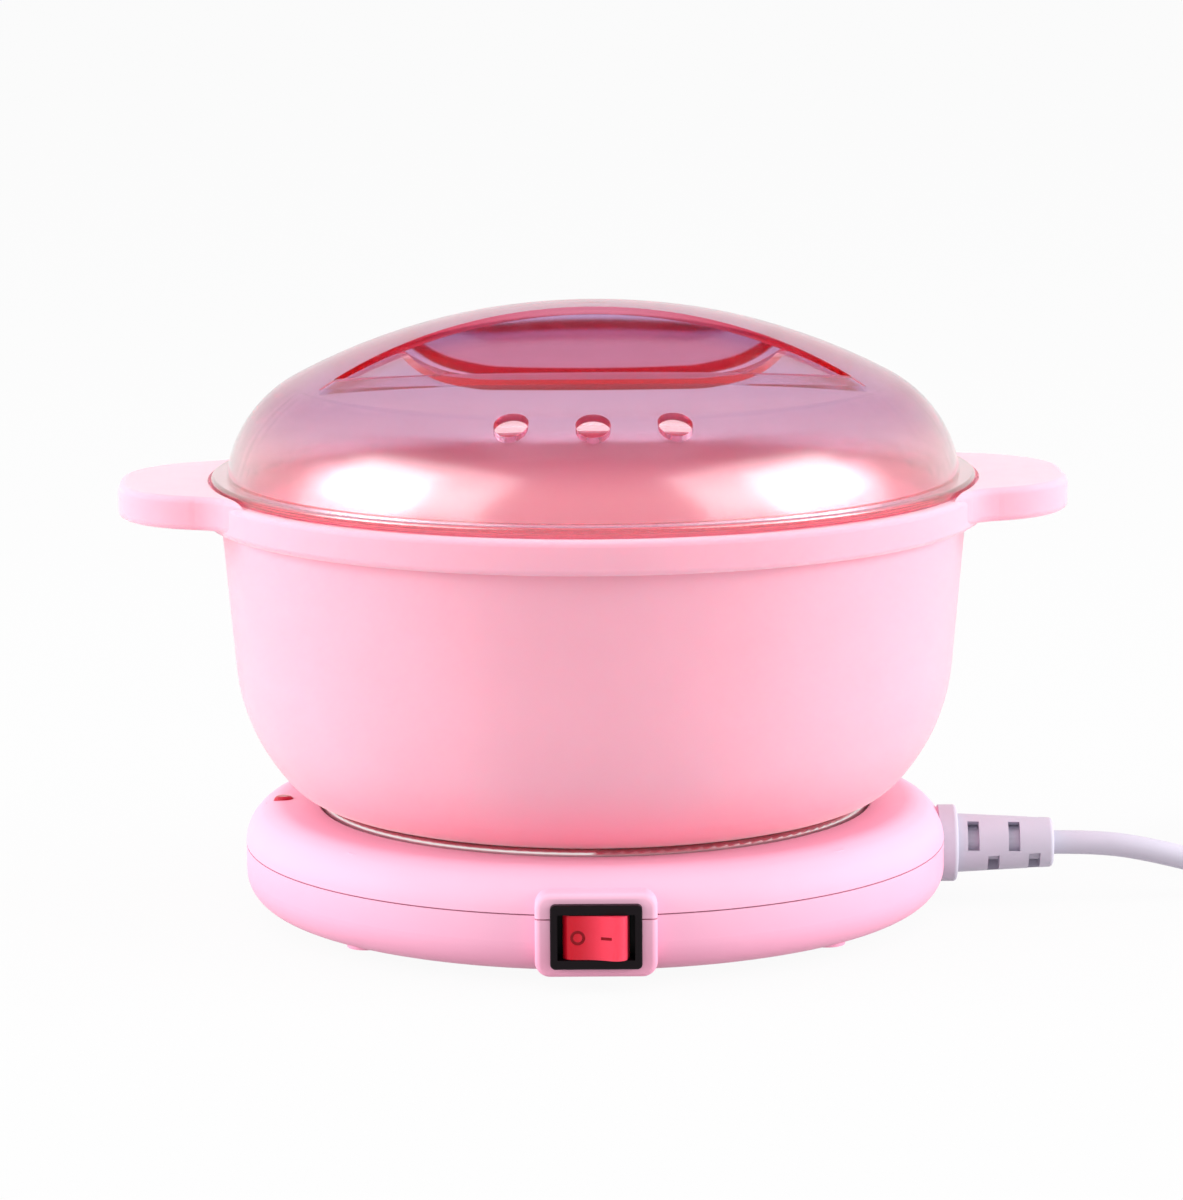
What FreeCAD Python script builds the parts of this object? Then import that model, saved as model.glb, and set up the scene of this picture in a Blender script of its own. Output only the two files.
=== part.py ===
import FreeCAD
import Part
import Sketcher
import math
import os
import re

# Wax warmer: heated round base, bowl-shaped pot with two ears, see-through lid, rocker switch, mains cord.
# Millimetres. Origin on the table under the pot's axis, +Z up, -Y to the switch, +X to the cord.

V = FreeCAD.Vector
UP = V(0, 0, 1)

# Driving sizes
SIZES = {
    # base housing
    "base_r": 85.4, "base_top": 26.2, "parting_z": 16.4, "reveal": 0.3, "wall": 2.4,
    "shoulder_r": 9.5, "heel_r": 8.0, "edge_r": 0.6, "lip_h": 2.0, "lip_t": 1.1, "lip_gap": 0.15,
    "foot_h": 2.0, "foot_r": 6.0, "foot_sink": 1.0, "foot_in": 22.4,
    "post_r": 4.4, "post_in": 8.9, "sink_r": 3.2, "sink_depth": 6.0, "pilot_r": 1.5,
    "vent_len": 18.0, "vent_w": 3.0, "vent_ring": 22.0,
    # screws
    "screw_r": 1.45, "head_r": 2.8, "head_h": 1.9, "screw_hole_r": 1.65, "screw_bite": 1.5,
    # heating plate and what is clamped under it
    "plate_in": 18.4, "plate_proud": 1.2, "plate_t": 3.0, "plate_edge": 0.9, "plate_gap": 0.4,
    "seat_w": 6.0, "gasket_t": 0.8, "gasket_inset": 0.4,
    "element_edge": 20.0, "element_t": 1.5, "pad_t": 1.5,
    "clamp_t": 1.0, "clamp_arm_w": 14.0, "clamp_tip": 1.5, "boss_in": 12.0, "boss_r": 4.5,
    "tongue_x": 9.0, "tongue_w": 6.0, "tongue_out": 6.0, "tab_w": 4.8, "tab_t": 0.8, "tab_drop": 7.4,
    # thermostat and thermal fuse
    "cap_r": 8.6, "cap_h": 1.5, "stat_r": 7.8, "stat_h": 8.5, "stat_hole": 11.9, "stat_boss_r": 3.2,
    "bracket_t": 0.8, "bracket_r": 9.8, "bracket_w": 8.0, "bracket_end": 4.2, "stat_gap": 0.1,
    "blade_len": 11.0, "blade_in": 4.0,
    "fuse_r": 2.0, "fuse_len": 11.0, "clip_t": 0.8, "clip_len": 5.0, "clip_foot": 7.0,
    "clip_gap": 0.1,
    # switch box, switch and rocker
    "box_w": 28.0, "box_h": 19.6, "box_proud": 3.6, "box_depth": 12.0, "box_wall": 2.2,
    "box_corner": 3.5, "box_edge": 1.4, "switch_drop": 3.8,
    "frame_w": 21.0, "frame_h": 15.0, "frame_t": 2.0, "frame_r": 1.2, "frame_edge": 0.6,
    "body_w": 18.6, "body_h": 12.6, "body_depth": 13.5, "cutout_gap": 0.2,
    "window_w": 17.7, "window_h": 10.6, "window_depth": 6.5, "chamber_w": 15.0, "chamber_h": 9.0,
    "back_wall": 2.0, "lug_x": 4.7, "lug_len": 7.5, "lug_gap": 0.05, "lug_in": 1.2,
    "rocker_w": 15.0, "rocker_h": 10.2, "rocker_mid": 3.2, "rocker_back": 1.6,
    "rocker_tilt": 10.0, "pivot_depth": 3.2, "pivot_r": 1.2, "pivot_len": 0.8, "pivot_gap": 0.06,
    "stem_w": 2.6, "stem_len": 2.0, "arm_len": 8.0, "arm_left": 2.0, "arm_t": 0.6, "arm_h": 4.0,
    "contact_r": 1.0, "contact_gap": 0.15,
    "rocker_round": 2.6, "rocker_valley": 10.0, "mark_x": 4.2, "mark_r": 1.7, "mark_line": 0.7,
    "mark_depth": 0.3, "dash_x": 3.6, "dash_len": 2.6,
    # indicator
    "lamp_in": 9.1, "lamp_angle": 181.0, "lens_r": 2.4, "lens_gap": 0.1, "lens_proud": 0.7,
    "lens_dome": 1.2, "lens_boss_r": 4.4, "lens_boss_low": 4.8, "lens_flange_r": 3.9, "lens_flange_t": 1.2,
    "lens_skirt_r": 3.5, "lens_skirt_in": 2.6, "lens_skirt_h": 7.0, "lamp_r": 2.4, "lamp_len": 8.0,
    # terminal block and cord clamp
    "block_x": 36.0, "block_y": 30.0, "block_l": 18.0, "block_w": 11.0, "block_h": 9.0, "rib_t": 1.4,
    "rib_h": 4.0, "block_gap": 0.1,
    "cradle_in": 14.4, "cradle_l": 7.0, "cradle_w": 24.0, "clamp_bar_h": 4.4, "clamp_squeeze": 0.2,
    "clamp_hole_y": 8.0, "cord_fit": 0.1, "clamp_screw_len": 9.0,
    # strain relief and cord
    "relief_drop": 2.6, "landing_in": 1.4, "landing_depth": 5.0, "collar_r": 8.4, "collar_t": 2.5,
    "neck_r": 6.5, "neck_gap": 0.15, "flange_r": 9.4, "flange_t": 4.6, "flange_edge": 1.0,
    "relief_len": 28.2, "relief_r": 7.2, "relief_tip_r": 6.0, "slot_w": 2.8, "slot_pitch": 5.0,
    "slot_first": 3.8, "slot_len": 7.4, "core_r": 4.2, "cord_r": 2.9, "cord_in": 19.4, "lead_r": 1.0,
    # pot
    "pot_neck_r": 90.1, "pot_heel_in": 19.3, "pot_heel_round": 17.0, "pot_knee_in": 4.3,
    "pot_knee_h": 18.9, "pot_knee_round": 46.0, "pot_wall": 3.5, "rim_top": 104.3, "rim_h": 8.1,
    "rim_over": 4.4, "rim_edge": 1.5, "ear_out": 24.4, "ear_tip_half": 24.5, "ear_round": 26.0,
    "ear_root": 0.9, "ear_root_half": 32.0, "ear_flare": 14.0, "ear_sink": 10.1, "ear_spread": 14.0,
    "ear_lift": 1.5, "ear_edge": 1.6, "pot_turn": 2.0,
    # lid
    "lid_rise": 43.4, "lid_crown": 155.0, "lid_shoulder_in": 19.4, "lid_round": 30.0, "lid_wall": 2.2,
    "lid_over": 2.3, "lid_flange_t": 2.7, "lid_edge": 0.9, "skirt_h": 5.0, "skirt_gap": 0.8,
    "bar_half": 8.5, "bar_curve": 110.0, "scoop_in": 17.6, "scoop_curve": 79.4,
    "shelf_d": 2.3, "shelf_shift": 6.0, "floor_drop": 17.0, "floor_half": 25.0, "floor_round": 26.0,
    "floor_ramp": 12.0, "floor_ramp_h": 1.8, "floor_flare": 94.0, "floor_tilt": 5.0, "steam_r": 4.0,
    "steam_in": 16.8, "steam_pitch": 18.6, "steam_len": 14.0, "steam_lean": 35.0,
    # coil, plug and tie
    "coil_x": 196.0, "coil_y": 47.0, "coil_r": 41.0, "coil_pitch": 6.4, "coil_lift": 0.8,
    "tie_t": 0.5, "tie_w": 8.0, "tie_gap": 0.3, "tie_slack": 1.6,
    "plug_w": 35.0, "plug_h": 13.6, "plug_l": 26.0, "plug_neck_l": 10.0, "plug_neck_r": 4.6,
    "plug_corner": 5.0, "pin_r": 2.0, "pin_len": 19.0, "pin_gap": 19.0, "pin_root": 6.0, "pin_root_step": 0.4,
}
# Sizes that follow the driving ones
FOLLOWING = {
    "plate_r": "(base_r - plate_in)", "post_ring": "(base_r - post_in)", "foot_ring": "(base_r - foot_in)",
    "lamp_ring": "(base_r - lamp_in)", "box_front": "(base_r + box_proud)",
    "boss_ring": "(plate_r - boss_in)",
    "element_out": "(plate_r - element_edge)", "element_in": "(element_out * 24 / 47)",
    "fuse_y": "((element_in + element_out) / 2)", "cradle_x": "(base_r - cradle_in)",
    "cord_inner_x": "(base_r - cord_in)",
    "switch_z": "(parting_z - switch_drop)", "relief_z": "(parting_z - relief_drop)",
    "lid_flange_r": "(pot_neck_r + lid_over)",
    "lid_shoulder_r": "(lid_flange_r - lid_shoulder_in)", "steam_ring": "(lid_flange_r - steam_in)",
    "scoop_reach": "(lid_shoulder_r - scoop_in)",
    "rocker_end": "(rocker_mid + rocker_w / 2 * tan(rocker_tilt))",
}
COIL_HALF_TURNS = 5
VENTS = 10

doc = FreeCAD.newDocument("wax_warmer")
sheet = doc.addObject("Spreadsheet::Sheet", "Sizes")
for row, (alias, size) in enumerate(SIZES.items(), 1):
    sheet.set("A%d" % row, alias)
    sheet.set("B%d" % row, str(size))
    sheet.setAlias("B%d" % row, alias)
doc.recompute()

# Heights that several pieces share
PLATE_TOP = "(base_top + plate_proud)"
PLATE_LOW = "(base_top + plate_proud - plate_t)"
SEAT_TOP = "(base_top + plate_proud - plate_t - gasket_t)"
CLAMP_TOP = "(base_top + plate_proud - plate_t - element_t - pad_t)"
CLAMP_LOW = "(base_top + plate_proud - plate_t - element_t - pad_t - clamp_t)"
CAP_LOW = "(base_top + plate_proud - plate_t - cap_h)"
FLOOR = "(foot_h + wall)"
UPPER_EDGE = "(parting_z + reveal / 2)"
LOWER_EDGE = "(parting_z - reveal / 2)"
RIM_LOW = "(rim_top - rim_h)"
MOUTH_R = "(pot_neck_r - pot_wall)"
RELIEF_X = "(base_r - landing_in)"
RELIEF_END = "(base_r - landing_in + relief_len)"
PIVOT_Y = "(box_front + frame_t - pivot_depth)"
LENS_SEAT = "(base_top - lens_boss_low)"
CORNER_ANGLES = (45, 135, 225, 315)
ARM_ANGLES = (30, 150, 270)
SLOT_ANGLES = ((62, -118), (140, -40))

WORD = re.compile(r"[a-z_][a-z_0-9]*")


def spell_out(expr):
    """The expression with the following sizes written in driving ones."""
    while any(word in FOLLOWING for word in WORD.findall(str(expr))):
        expr = WORD.sub(lambda m: FOLLOWING.get(m.group(0), m.group(0)), str(expr))
    return str(expr)


def link(expr):
    """The expression with its sizes read from the sheet."""
    return WORD.sub(lambda m: "Sizes." + m.group(0) if m.group(0) in SIZES else m.group(0), spell_out(expr))


def value(expr):
    """The expression as a number."""
    got = sheet.evalExpression(spell_out(expr))
    return float(getattr(got, "Value", got))


def bind(obj, **sizes):
    """Tie properties of an object to expressions; a double underscore stands for a dot."""
    for name, expr in sizes.items():
        obj.setExpression(name.replace("__", "."), link(expr))
    return obj


# Sketches

def place(sketch, geo, pos, x, y):
    """Hold one point of a sketch at a place given by two expressions."""
    for kind, expr, axis in (("DistanceX", x, -2), ("DistanceY", y, -1)):
        if str(expr) == "0":
            sketch.addConstraint(Sketcher.Constraint("PointOnObject", geo, pos, axis))
        else:
            index = sketch.addConstraint(Sketcher.Constraint(kind, -1, 1, geo, pos, value(expr)))
            sketch.setExpression("Constraints[%d]" % index, link(expr))


def bow(start, end, radius):
    """Arc of a radius from start to end that bulges to the left of the way it goes."""
    half = (end - start) / 2
    side = V(-half.y, half.x, 0).normalize()
    drop = math.sqrt(radius ** 2 - half.Length ** 2)
    middle = start + half + side * (radius - drop)
    return Part.Arc(start, middle, end)


def outline(sketch, corners):
    """Closed outline. A corner is (x, y), (x, y, round) or (x, y, 0, bow) with the next side an arc."""
    count = len(corners)
    if count == 0:
        return
    points = [V(value(c[0]), value(c[1]), 0) for c in corners]
    rounds = [value(c[2]) if len(c) > 2 else 0 for c in corners]
    bows = [c[3] if len(c) > 3 else None for c in corners]
    ends, starts, centres = list(points), list(points), [None] * count
    for i, here in enumerate(points):
        if rounds[i] > 0:
            before = (points[i - 1] - here).normalize()
            after = (points[(i + 1) % count] - here).normalize()
            half = before.getAngle(after) / 2
            ends[i] = here + before * (rounds[i] / math.tan(half))
            starts[i] = here + after * (rounds[i] / math.tan(half))
            centres[i] = here + (before + after).normalize() * (rounds[i] / math.sin(half))
    sides, first, last = [], [1] * count, [2] * count
    for i in range(count):
        finish = ends[(i + 1) % count]
        if bows[i] is None:
            sides.append(sketch.addGeometry(Part.LineSegment(starts[i], finish)))
            continue
        arc = bow(starts[i], finish, value(bows[i])).toShape().Curve
        angles = [math.atan2(p.y - arc.Center.y, p.x - arc.Center.x) for p in (finish, starts[i])]
        flat = Part.ArcOfCircle(Part.Circle(arc.Center, UP, arc.Radius), angles[0], angles[1])
        sides.append(sketch.addGeometry(flat))
        first[i], last[i] = 2, 1
        index = sketch.addConstraint(Sketcher.Constraint("Radius", sides[i], arc.Radius))
        sketch.setExpression("Constraints[%d]" % index, link(bows[i]))
    for i in range(count):
        if centres[i] is None:
            sketch.addConstraint(Sketcher.Constraint("Coincident", sides[i - 1], last[i - 1], sides[i],
                                                     first[i]))
            place(sketch, sides[i], first[i], corners[i][0], corners[i][1])
            continue
        arm_in, arm_out = ends[i] - centres[i], starts[i] - centres[i]
        left = arm_in.cross(arm_out).z > 0
        begin, stop = (arm_in, arm_out) if left else (arm_out, arm_in)
        circle = Part.Circle(centres[i], UP, rounds[i])
        arc = sketch.addGeometry(Part.ArcOfCircle(circle, math.atan2(begin.y, begin.x),
                                                  math.atan2(stop.y, stop.x)))
        corner = sketch.addGeometry(Part.Point(points[i]), True)
        place(sketch, corner, 1, corners[i][0], corners[i][1])
        sketch.addConstraint(Sketcher.Constraint("PointOnObject", corner, 1, sides[i - 1]))
        sketch.addConstraint(Sketcher.Constraint("PointOnObject", corner, 1, sides[i]))
        sketch.addConstraint(Sketcher.Constraint("Tangent", sides[i - 1], 2, arc, 1 if left else 2))
        sketch.addConstraint(Sketcher.Constraint("Tangent", arc, 2 if left else 1, sides[i], 1))
        index = sketch.addConstraint(Sketcher.Constraint("Radius", arc, rounds[i]))
        sketch.setExpression("Constraints[%d]" % index, link(corners[i][2]))


def drawn(body, name, plane, corners, offset=None):
    """Sketch on one of the body's own planes, raised along its normal by offset."""
    sketch = body.newObject("Sketcher::SketchObject", name)
    support = [f for f in body.Origin.OriginFeatures if f.Role == plane][0]
    sketch.AttachmentSupport = (support, "")
    sketch.MapMode = "FlatFace"
    if offset is not None:
        sketch.setExpression("AttachmentOffset.Base.z", link(offset))
    outline(sketch, corners)
    return sketch


# Solids

def new_body(name):
    return doc.addObject("PartDesign::Body", name)


def revolve(body, name, corners, kind="Revolution"):
    """Turn a half section of radius and height about the body's Z axis, to add or to take away."""
    sketch = drawn(body, name + "_section", "XZ_Plane", corners)
    feature = body.newObject("PartDesign::" + kind, name)
    feature.Profile = sketch
    feature.ReferenceAxis = (sketch, ["V_Axis"])
    feature.Angle = 360
    return feature


def pad(body, name, plane, corners, length, offset=None, both_ways=False):
    sketch = drawn(body, name + "_outline", plane, corners, offset)
    feature = body.newObject("PartDesign::Pad", name)
    feature.Profile = sketch
    feature.Midplane = both_ways
    return bind(feature, Length=length)


def soften(body, feature, radius, chosen):
    """Round the edges of the body that chosen picks."""
    doc.recompute()
    names = ["Edge%d" % (i + 1) for i, edge in enumerate(feature.Shape.Edges) if chosen(edge)]
    fillet = body.newObject("PartDesign::Fillet", feature.Name + "_round")
    fillet.Base = (feature, names)
    return bind(fillet, Radius=radius)


def turned(name, corners):
    body = new_body(name)
    revolve(body, name + "_turn", corners)
    return body


def block(name, corners, plane, length, offset=None, both_ways=False):
    body = new_body(name)
    pad(body, name + "_pad", plane, corners, length, offset, both_ways)
    return body


def rectangle(width, height, round_r="0", x="0", y="0"):
    """Corners of a rectangle about a centre."""
    half_w, half_h = "(%s) / 2" % width, "(%s) / 2" % height
    signs = ((-1, -1), (1, -1), (1, 1), (-1, 1))
    return [("%s + %d * %s" % (x, sx, half_w), "%s + %d * %s" % (y, sy, half_h), round_r) for sx, sy in signs]


AXES = {"Z": (V(0, 0, 1), 0), "X": (V(0, 1, 0), 90), "-Y": (V(1, 0, 0), 90), "Y": (V(1, 0, 0), -90)}


def seat(obj, x="0", y="0", z="0", axis="Z"):
    """Put an object at a place given by expressions, its own Z along an axis."""
    turn, angle = AXES[axis]
    obj.Placement = FreeCAD.Placement(V(0, 0, 0), FreeCAD.Rotation(turn, angle))
    return bind(obj, Placement__Base__x=x, Placement__Base__y=y, Placement__Base__z=z)


def rod(name, radius, length, x="0", y="0", z="0", axis="Z"):
    obj = doc.addObject("Part::Cylinder", name)
    return seat(bind(obj, Radius=radius, Height=length), x, y, z, axis)


def brick(name, length, width, height, x="0", y="0", z="0"):
    """Box about x and y that stands on z."""
    obj = doc.addObject("Part::Box", name)
    bind(obj, Length=length, Width=width, Height=height)
    return seat(obj, "%s - (%s) / 2" % (x, length), "%s - (%s) / 2" % (y, width), z)


def fuse(name, *shapes):
    obj = doc.addObject("Part::MultiFuse", name)
    obj.Shapes = list(shapes)
    return obj


def common(name, *shapes):
    obj = doc.addObject("Part::MultiCommon", name)
    obj.Shapes = list(shapes)
    return obj


def cut(name, base, *tools):
    obj = doc.addObject("Part::Cut", name)
    obj.Base = base
    obj.Tool = tools[0] if len(tools) == 1 else fuse(name + "_tools", *tools)
    return obj


def group(name, *shapes):
    obj = doc.addObject("Part::Compound", name)
    obj.Links = list(shapes)
    return obj


def mirrored(name, source):
    obj = doc.addObject("Part::Mirroring", name)
    obj.Source = source
    obj.Normal = V(0, 1, 0)
    return obj


def ring_place(radius, angle):
    """Expressions for a point on a ring about the axis."""
    return "(%s) * cos(%s)" % (radius, angle), "(%s) * sin(%s)" % (radius, angle)


def screw(name, length, x, y, z, up=True):
    """Pan head on z with its shank away from it, up or down."""
    head = rod(name + "_head", "head_r", "head_h", x, y, "%s - head_h" % z if up else z)
    shank = rod(name + "_shank", "screw_r", length, x, y, z if up else "%s - (%s)" % (z, length))
    return fuse(name, head, shank)


pieces = {}


def piece(name, obj):
    """Note an object as one of the pieces that are written, under its own label."""
    obj.Label = name
    pieces[name] = obj
    return obj


# Base housing

def switch_box():
    """Solid of the switch box, with its front edges rounded."""
    body = new_body("box_solid")
    outer = rectangle("box_w", "box_h", "box_corner", "0", "switch_z")
    feature = pad(body, "box_pad", "XZ_Plane", outer, "box_depth", "box_front - box_depth")
    front = -value("box_front")
    soften(body, feature, "box_edge", lambda e: abs(e.BoundBox.YMax - front) < 0.01)
    return body


def housing_tools():
    """Cuts that both halves of the housing share."""
    inner = rectangle("box_w - 2 * box_wall", "box_h - 2 * box_wall", "box_corner - box_wall", "0",
                      "switch_z")
    hollow = block("box_hollow", inner, "XZ_Plane", "box_depth + wall",
                   "box_front - box_wall - box_depth - wall")
    gap = "2 * cutout_gap"
    hole = rectangle("body_w + " + gap, "body_h + " + gap, "0", "0", "switch_z")
    cutout = block("box_cutout", hole, "XZ_Plane", "2 * box_wall", "box_front - 1.5 * box_wall")
    neck = rod("neck_hole", "neck_r + neck_gap", "landing_depth + wall", "base_r - landing_depth - wall", "0",
               "relief_z", "X")
    flange = rod("flange_pocket", "flange_r + neck_gap", "2 * landing_in", RELIEF_X, "0", "relief_z", "X")
    return [hollow, cutout, neck, flange]


def landing():
    """Round boss with the flat that the strain relief's flange bears on."""
    return rod("cord_landing", "flange_r - flange_edge / 2", "landing_depth - landing_in",
               "base_r - landing_depth", "0", "relief_z", "X")


def half(name, shape, upper):
    """The part of a shape above or below the parting line."""
    reach = "4 * base_r"
    low = UPPER_EDGE if upper else LOWER_EDGE + " - base_top"
    slab = brick(name + "_slab", reach, reach, "base_top", z=low)
    return common(name, shape, slab)


def top_cover(box, flat, tools):
    shell = turned("top_shell", [
        ("base_r", UPPER_EDGE), ("base_r", "base_top", "shoulder_r"),
        ("plate_r + plate_gap", "base_top", "edge_r"), ("plate_r + plate_gap", SEAT_TOP),
        ("plate_r - seat_w", SEAT_TOP), ("plate_r - seat_w", CLAMP_TOP),
        ("plate_r + plate_gap + wall", CLAMP_TOP), ("plate_r + plate_gap + wall", "base_top - wall"),
        ("base_r - wall", "base_top - wall", "shoulder_r - wall"),
        ("base_r - wall", UPPER_EDGE + " + lip_h + lip_gap"),
        ("base_r - wall + lip_t + lip_gap", UPPER_EDGE + " + lip_h + lip_gap"),
        ("base_r - wall + lip_t + lip_gap", UPPER_EDGE)])
    added = [shell, half("box_upper", box, True), half("landing_upper", flat, True)]
    holes = list(tools)
    for i, angle in enumerate(CORNER_ANGLES):
        x, y = ring_place("post_ring", angle)
        added.append(rod("boss_%d" % i, "post_r", "base_top - wall / 2 - parting_z", x, y, "parting_z"))
        holes.append(rod("boss_hole_%d" % i, "pilot_r", "base_top - 1.5 * wall - parting_z", x, y,
                         "parting_z"))
    x, y = ring_place("lamp_ring", "lamp_angle")
    added.append(rod("lens_boss", "lens_boss_r", "lens_boss_low - wall / 2", x, y, LENS_SEAT))
    holes.append(rod("lens_hole", "lens_r + lens_gap", "lens_boss_low + wall", x, y, LENS_SEAT))
    piece("base_top_cover", cut("base_top_cover", fuse("top_solid", *added), *holes))


def bottom_cover(box, flat, tools):
    shell = turned("bottom_shell", [
        ("0", "foot_h"), ("base_r", "foot_h", "heel_r"), ("base_r", LOWER_EDGE),
        ("base_r - wall + lip_t", LOWER_EDGE), ("base_r - wall + lip_t", UPPER_EDGE + " + lip_h"),
        ("base_r - wall", UPPER_EDGE + " + lip_h"), ("base_r - wall", FLOOR, "heel_r - wall"), ("0", FLOOR)])
    added = [shell, half("box_lower", box, False), half("landing_lower", flat, False)]
    holes = list(tools)
    lip_z, lip_top = LOWER_EDGE, "reveal + 2 * lip_h"
    holes.append(brick("lip_gap_box", "box_w + 2 * lip_gap", "2 * box_depth", lip_top, "0", "-box_front",
                       lip_z))
    holes.append(brick("lip_gap_cord", "2 * landing_depth", "2 * flange_r", lip_top, "base_r", "0", lip_z))
    for i, angle in enumerate(CORNER_ANGLES):
        x, y = ring_place("post_ring", angle)
        added.append(rod("post_%d" % i, "post_r", "parting_z - foot_h", x, y, "foot_h"))
        holes.append(rod("post_hole_%d" % i, "screw_hole_r", "parting_z", x, y, "foot_h"))
        holes.append(rod("post_sink_%d" % i, "sink_r", "sink_depth", x, y, "foot_h"))
        x, y = ring_place("foot_ring", angle)
        holes.append(rod("foot_sink_%d" % i, "foot_r + lip_gap", "foot_sink", x, y, "foot_h"))
    cradle_h = "relief_z - clamp_squeeze - %s" % FLOOR
    added.append(brick("cradle", "cradle_l", "cradle_w", cradle_h, "cradle_x", "0", FLOOR))
    holes.append(rod("cradle_groove", "cord_r + cord_fit", "2 * cradle_l", "cradle_x - cradle_l", "0",
                     "relief_z", "X"))
    for side in (-1, 1):
        y = "%d * clamp_hole_y" % side
        holes.append(rod("cradle_hole_%d" % (side + 1), "pilot_r", "clamp_screw_len", "cradle_x", y,
                         "relief_z - clamp_screw_len"))
        x = "block_x + %d * (block_l / 2 + block_gap + rib_t / 2)" % side
        added.append(brick("block_rib_%d" % (side + 1), "rib_t", "block_w", "rib_h", x, "block_y", FLOOR))
    for i in range(VENTS):
        slot = doc.addObject("Part::Box", "vent_%d" % i)
        bind(slot, Length="vent_len", Width="vent_w", Height="wall",
             Placement__Rotation__Angle=i * 360 / VENTS)
        x, y = ring_place("vent_ring", i * 360 / VENTS)
        holes.append(bind(slot, Placement__Base__x=x, Placement__Base__y=y, Placement__Base__z="foot_h"))
    piece("base_bottom_cover", cut("base_bottom_cover", fuse("bottom_solid", *added), *holes))


def feet_and_screws():
    feet, screws = [], []
    for i, angle in enumerate(CORNER_ANGLES):
        x, y = ring_place("foot_ring", angle)
        foot = turned("foot_%d" % i, [("0", "0"), ("foot_r", "0", "foot_h / 3"),
                                      ("foot_r", "foot_h + foot_sink"),
                                      ("0", "foot_h + foot_sink")])
        feet.append(seat(foot, x, y))
        x, y = ring_place("post_ring", angle)
        screws.append(screw("cover_screw_%d" % i, "base_top - 2 * wall - foot_h - sink_depth", x, y,
                            "foot_h + sink_depth"))
    piece("rubber_feet", group("rubber_feet", *feet))
    piece("housing_screws", group("housing_screws", *screws))


# Heating plate and the stack clamped under it

def ring(name, inner, outer, low, high):
    return turned(name, [(inner, low), (outer, low), (outer, high), (inner, high)])


def heating_stack():
    disc = turned("plate_disc", [("0", PLATE_LOW), ("plate_r", PLATE_LOW),
                                 ("plate_r", PLATE_TOP, "plate_edge"),
                                 ("0", PLATE_TOP)])
    ring_clamp = ring("clamp_ring", "element_in", "element_out", CLAMP_LOW, CLAMP_TOP)
    added, holes, arms, arm_holes, screws = [disc], [], [ring_clamp], [], []
    for i, angle in enumerate(ARM_ANGLES):
        x, y = ring_place("boss_ring", angle)
        added.append(rod("plate_boss_%d" % i, "boss_r", "element_t + pad_t + plate_t / 2", x, y, CLAMP_TOP))
        holes.append(rod("plate_hole_%d" % i, "pilot_r", "element_t + pad_t + 1.1 * screw_bite", x, y,
                         CLAMP_TOP))
        arm = doc.addObject("Part::Box", "clamp_arm_%d" % i)
        bind(arm, Length="plate_r - clamp_tip - element_in - 1", Width="clamp_arm_w", Height="clamp_t",
             Placement__Rotation__Angle=angle)
        start = "(element_in + 1)"
        bind(arm, Placement__Base__x="%s * cos(%d) + clamp_arm_w / 2 * sin(%d)" % (start, angle, angle),
             Placement__Base__y="%s * sin(%d) - clamp_arm_w / 2 * cos(%d)" % (start, angle, angle),
             Placement__Base__z=CLAMP_LOW)
        arms.append(arm)
        arm_holes.append(rod("arm_hole_%d" % i, "screw_hole_r", "clamp_t", x, y, CLAMP_LOW))
        screws.append(screw("clamp_screw_%d" % i, "clamp_t + element_t + pad_t + screw_bite", x, y,
                            CLAMP_LOW))
    for side in (-1, 1):
        x = "%d * stat_hole" % side
        added.append(rod("stat_boss_%d" % (side + 1), "stat_boss_r", "cap_h + plate_t / 2", x, "0", CAP_LOW))
        holes.append(rod("stat_hole_%d" % (side + 1), "pilot_r", "cap_h + 1.1 * screw_bite", x, "0", CAP_LOW))
    piece("heating_plate", cut("heating_plate", fuse("plate_solid", *added), *holes))
    piece("plate_gasket", ring("plate_gasket", "plate_r - seat_w", "plate_r - gasket_inset", SEAT_TOP,
                               PLATE_LOW))
    piece("element_clamp", cut("element_clamp", fuse("clamp_solid", *arms), *arm_holes))
    piece("clamp_screws", group("clamp_screws", *screws))
    piece("insulation_pad", ring("insulation_pad", "element_in", "element_out", CLAMP_TOP,
                                 CLAMP_TOP + " + pad_t"))
    under = PLATE_LOW + " - element_t"
    shapes = [ring("element_ring", "element_in", "element_out", under, PLATE_LOW)]
    tabs = []
    for side in (-1, 1):
        x = "%d * tongue_x" % side
        y = "element_out + tongue_out / 2 - 2"
        shapes.append(brick("tongue_%d" % (side + 1), "tongue_w", "tongue_out + 4", "element_t", x, y, under))
        tabs.append(brick("element_tab_%d" % (side + 1), "tab_w", "tab_t", "tab_drop", x,
                          "element_out + tongue_out / 2", under + " - tab_drop"))
    piece("heating_element", fuse("heating_element", *shapes))
    piece("element_terminals", group("element_terminals", *tabs))


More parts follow.
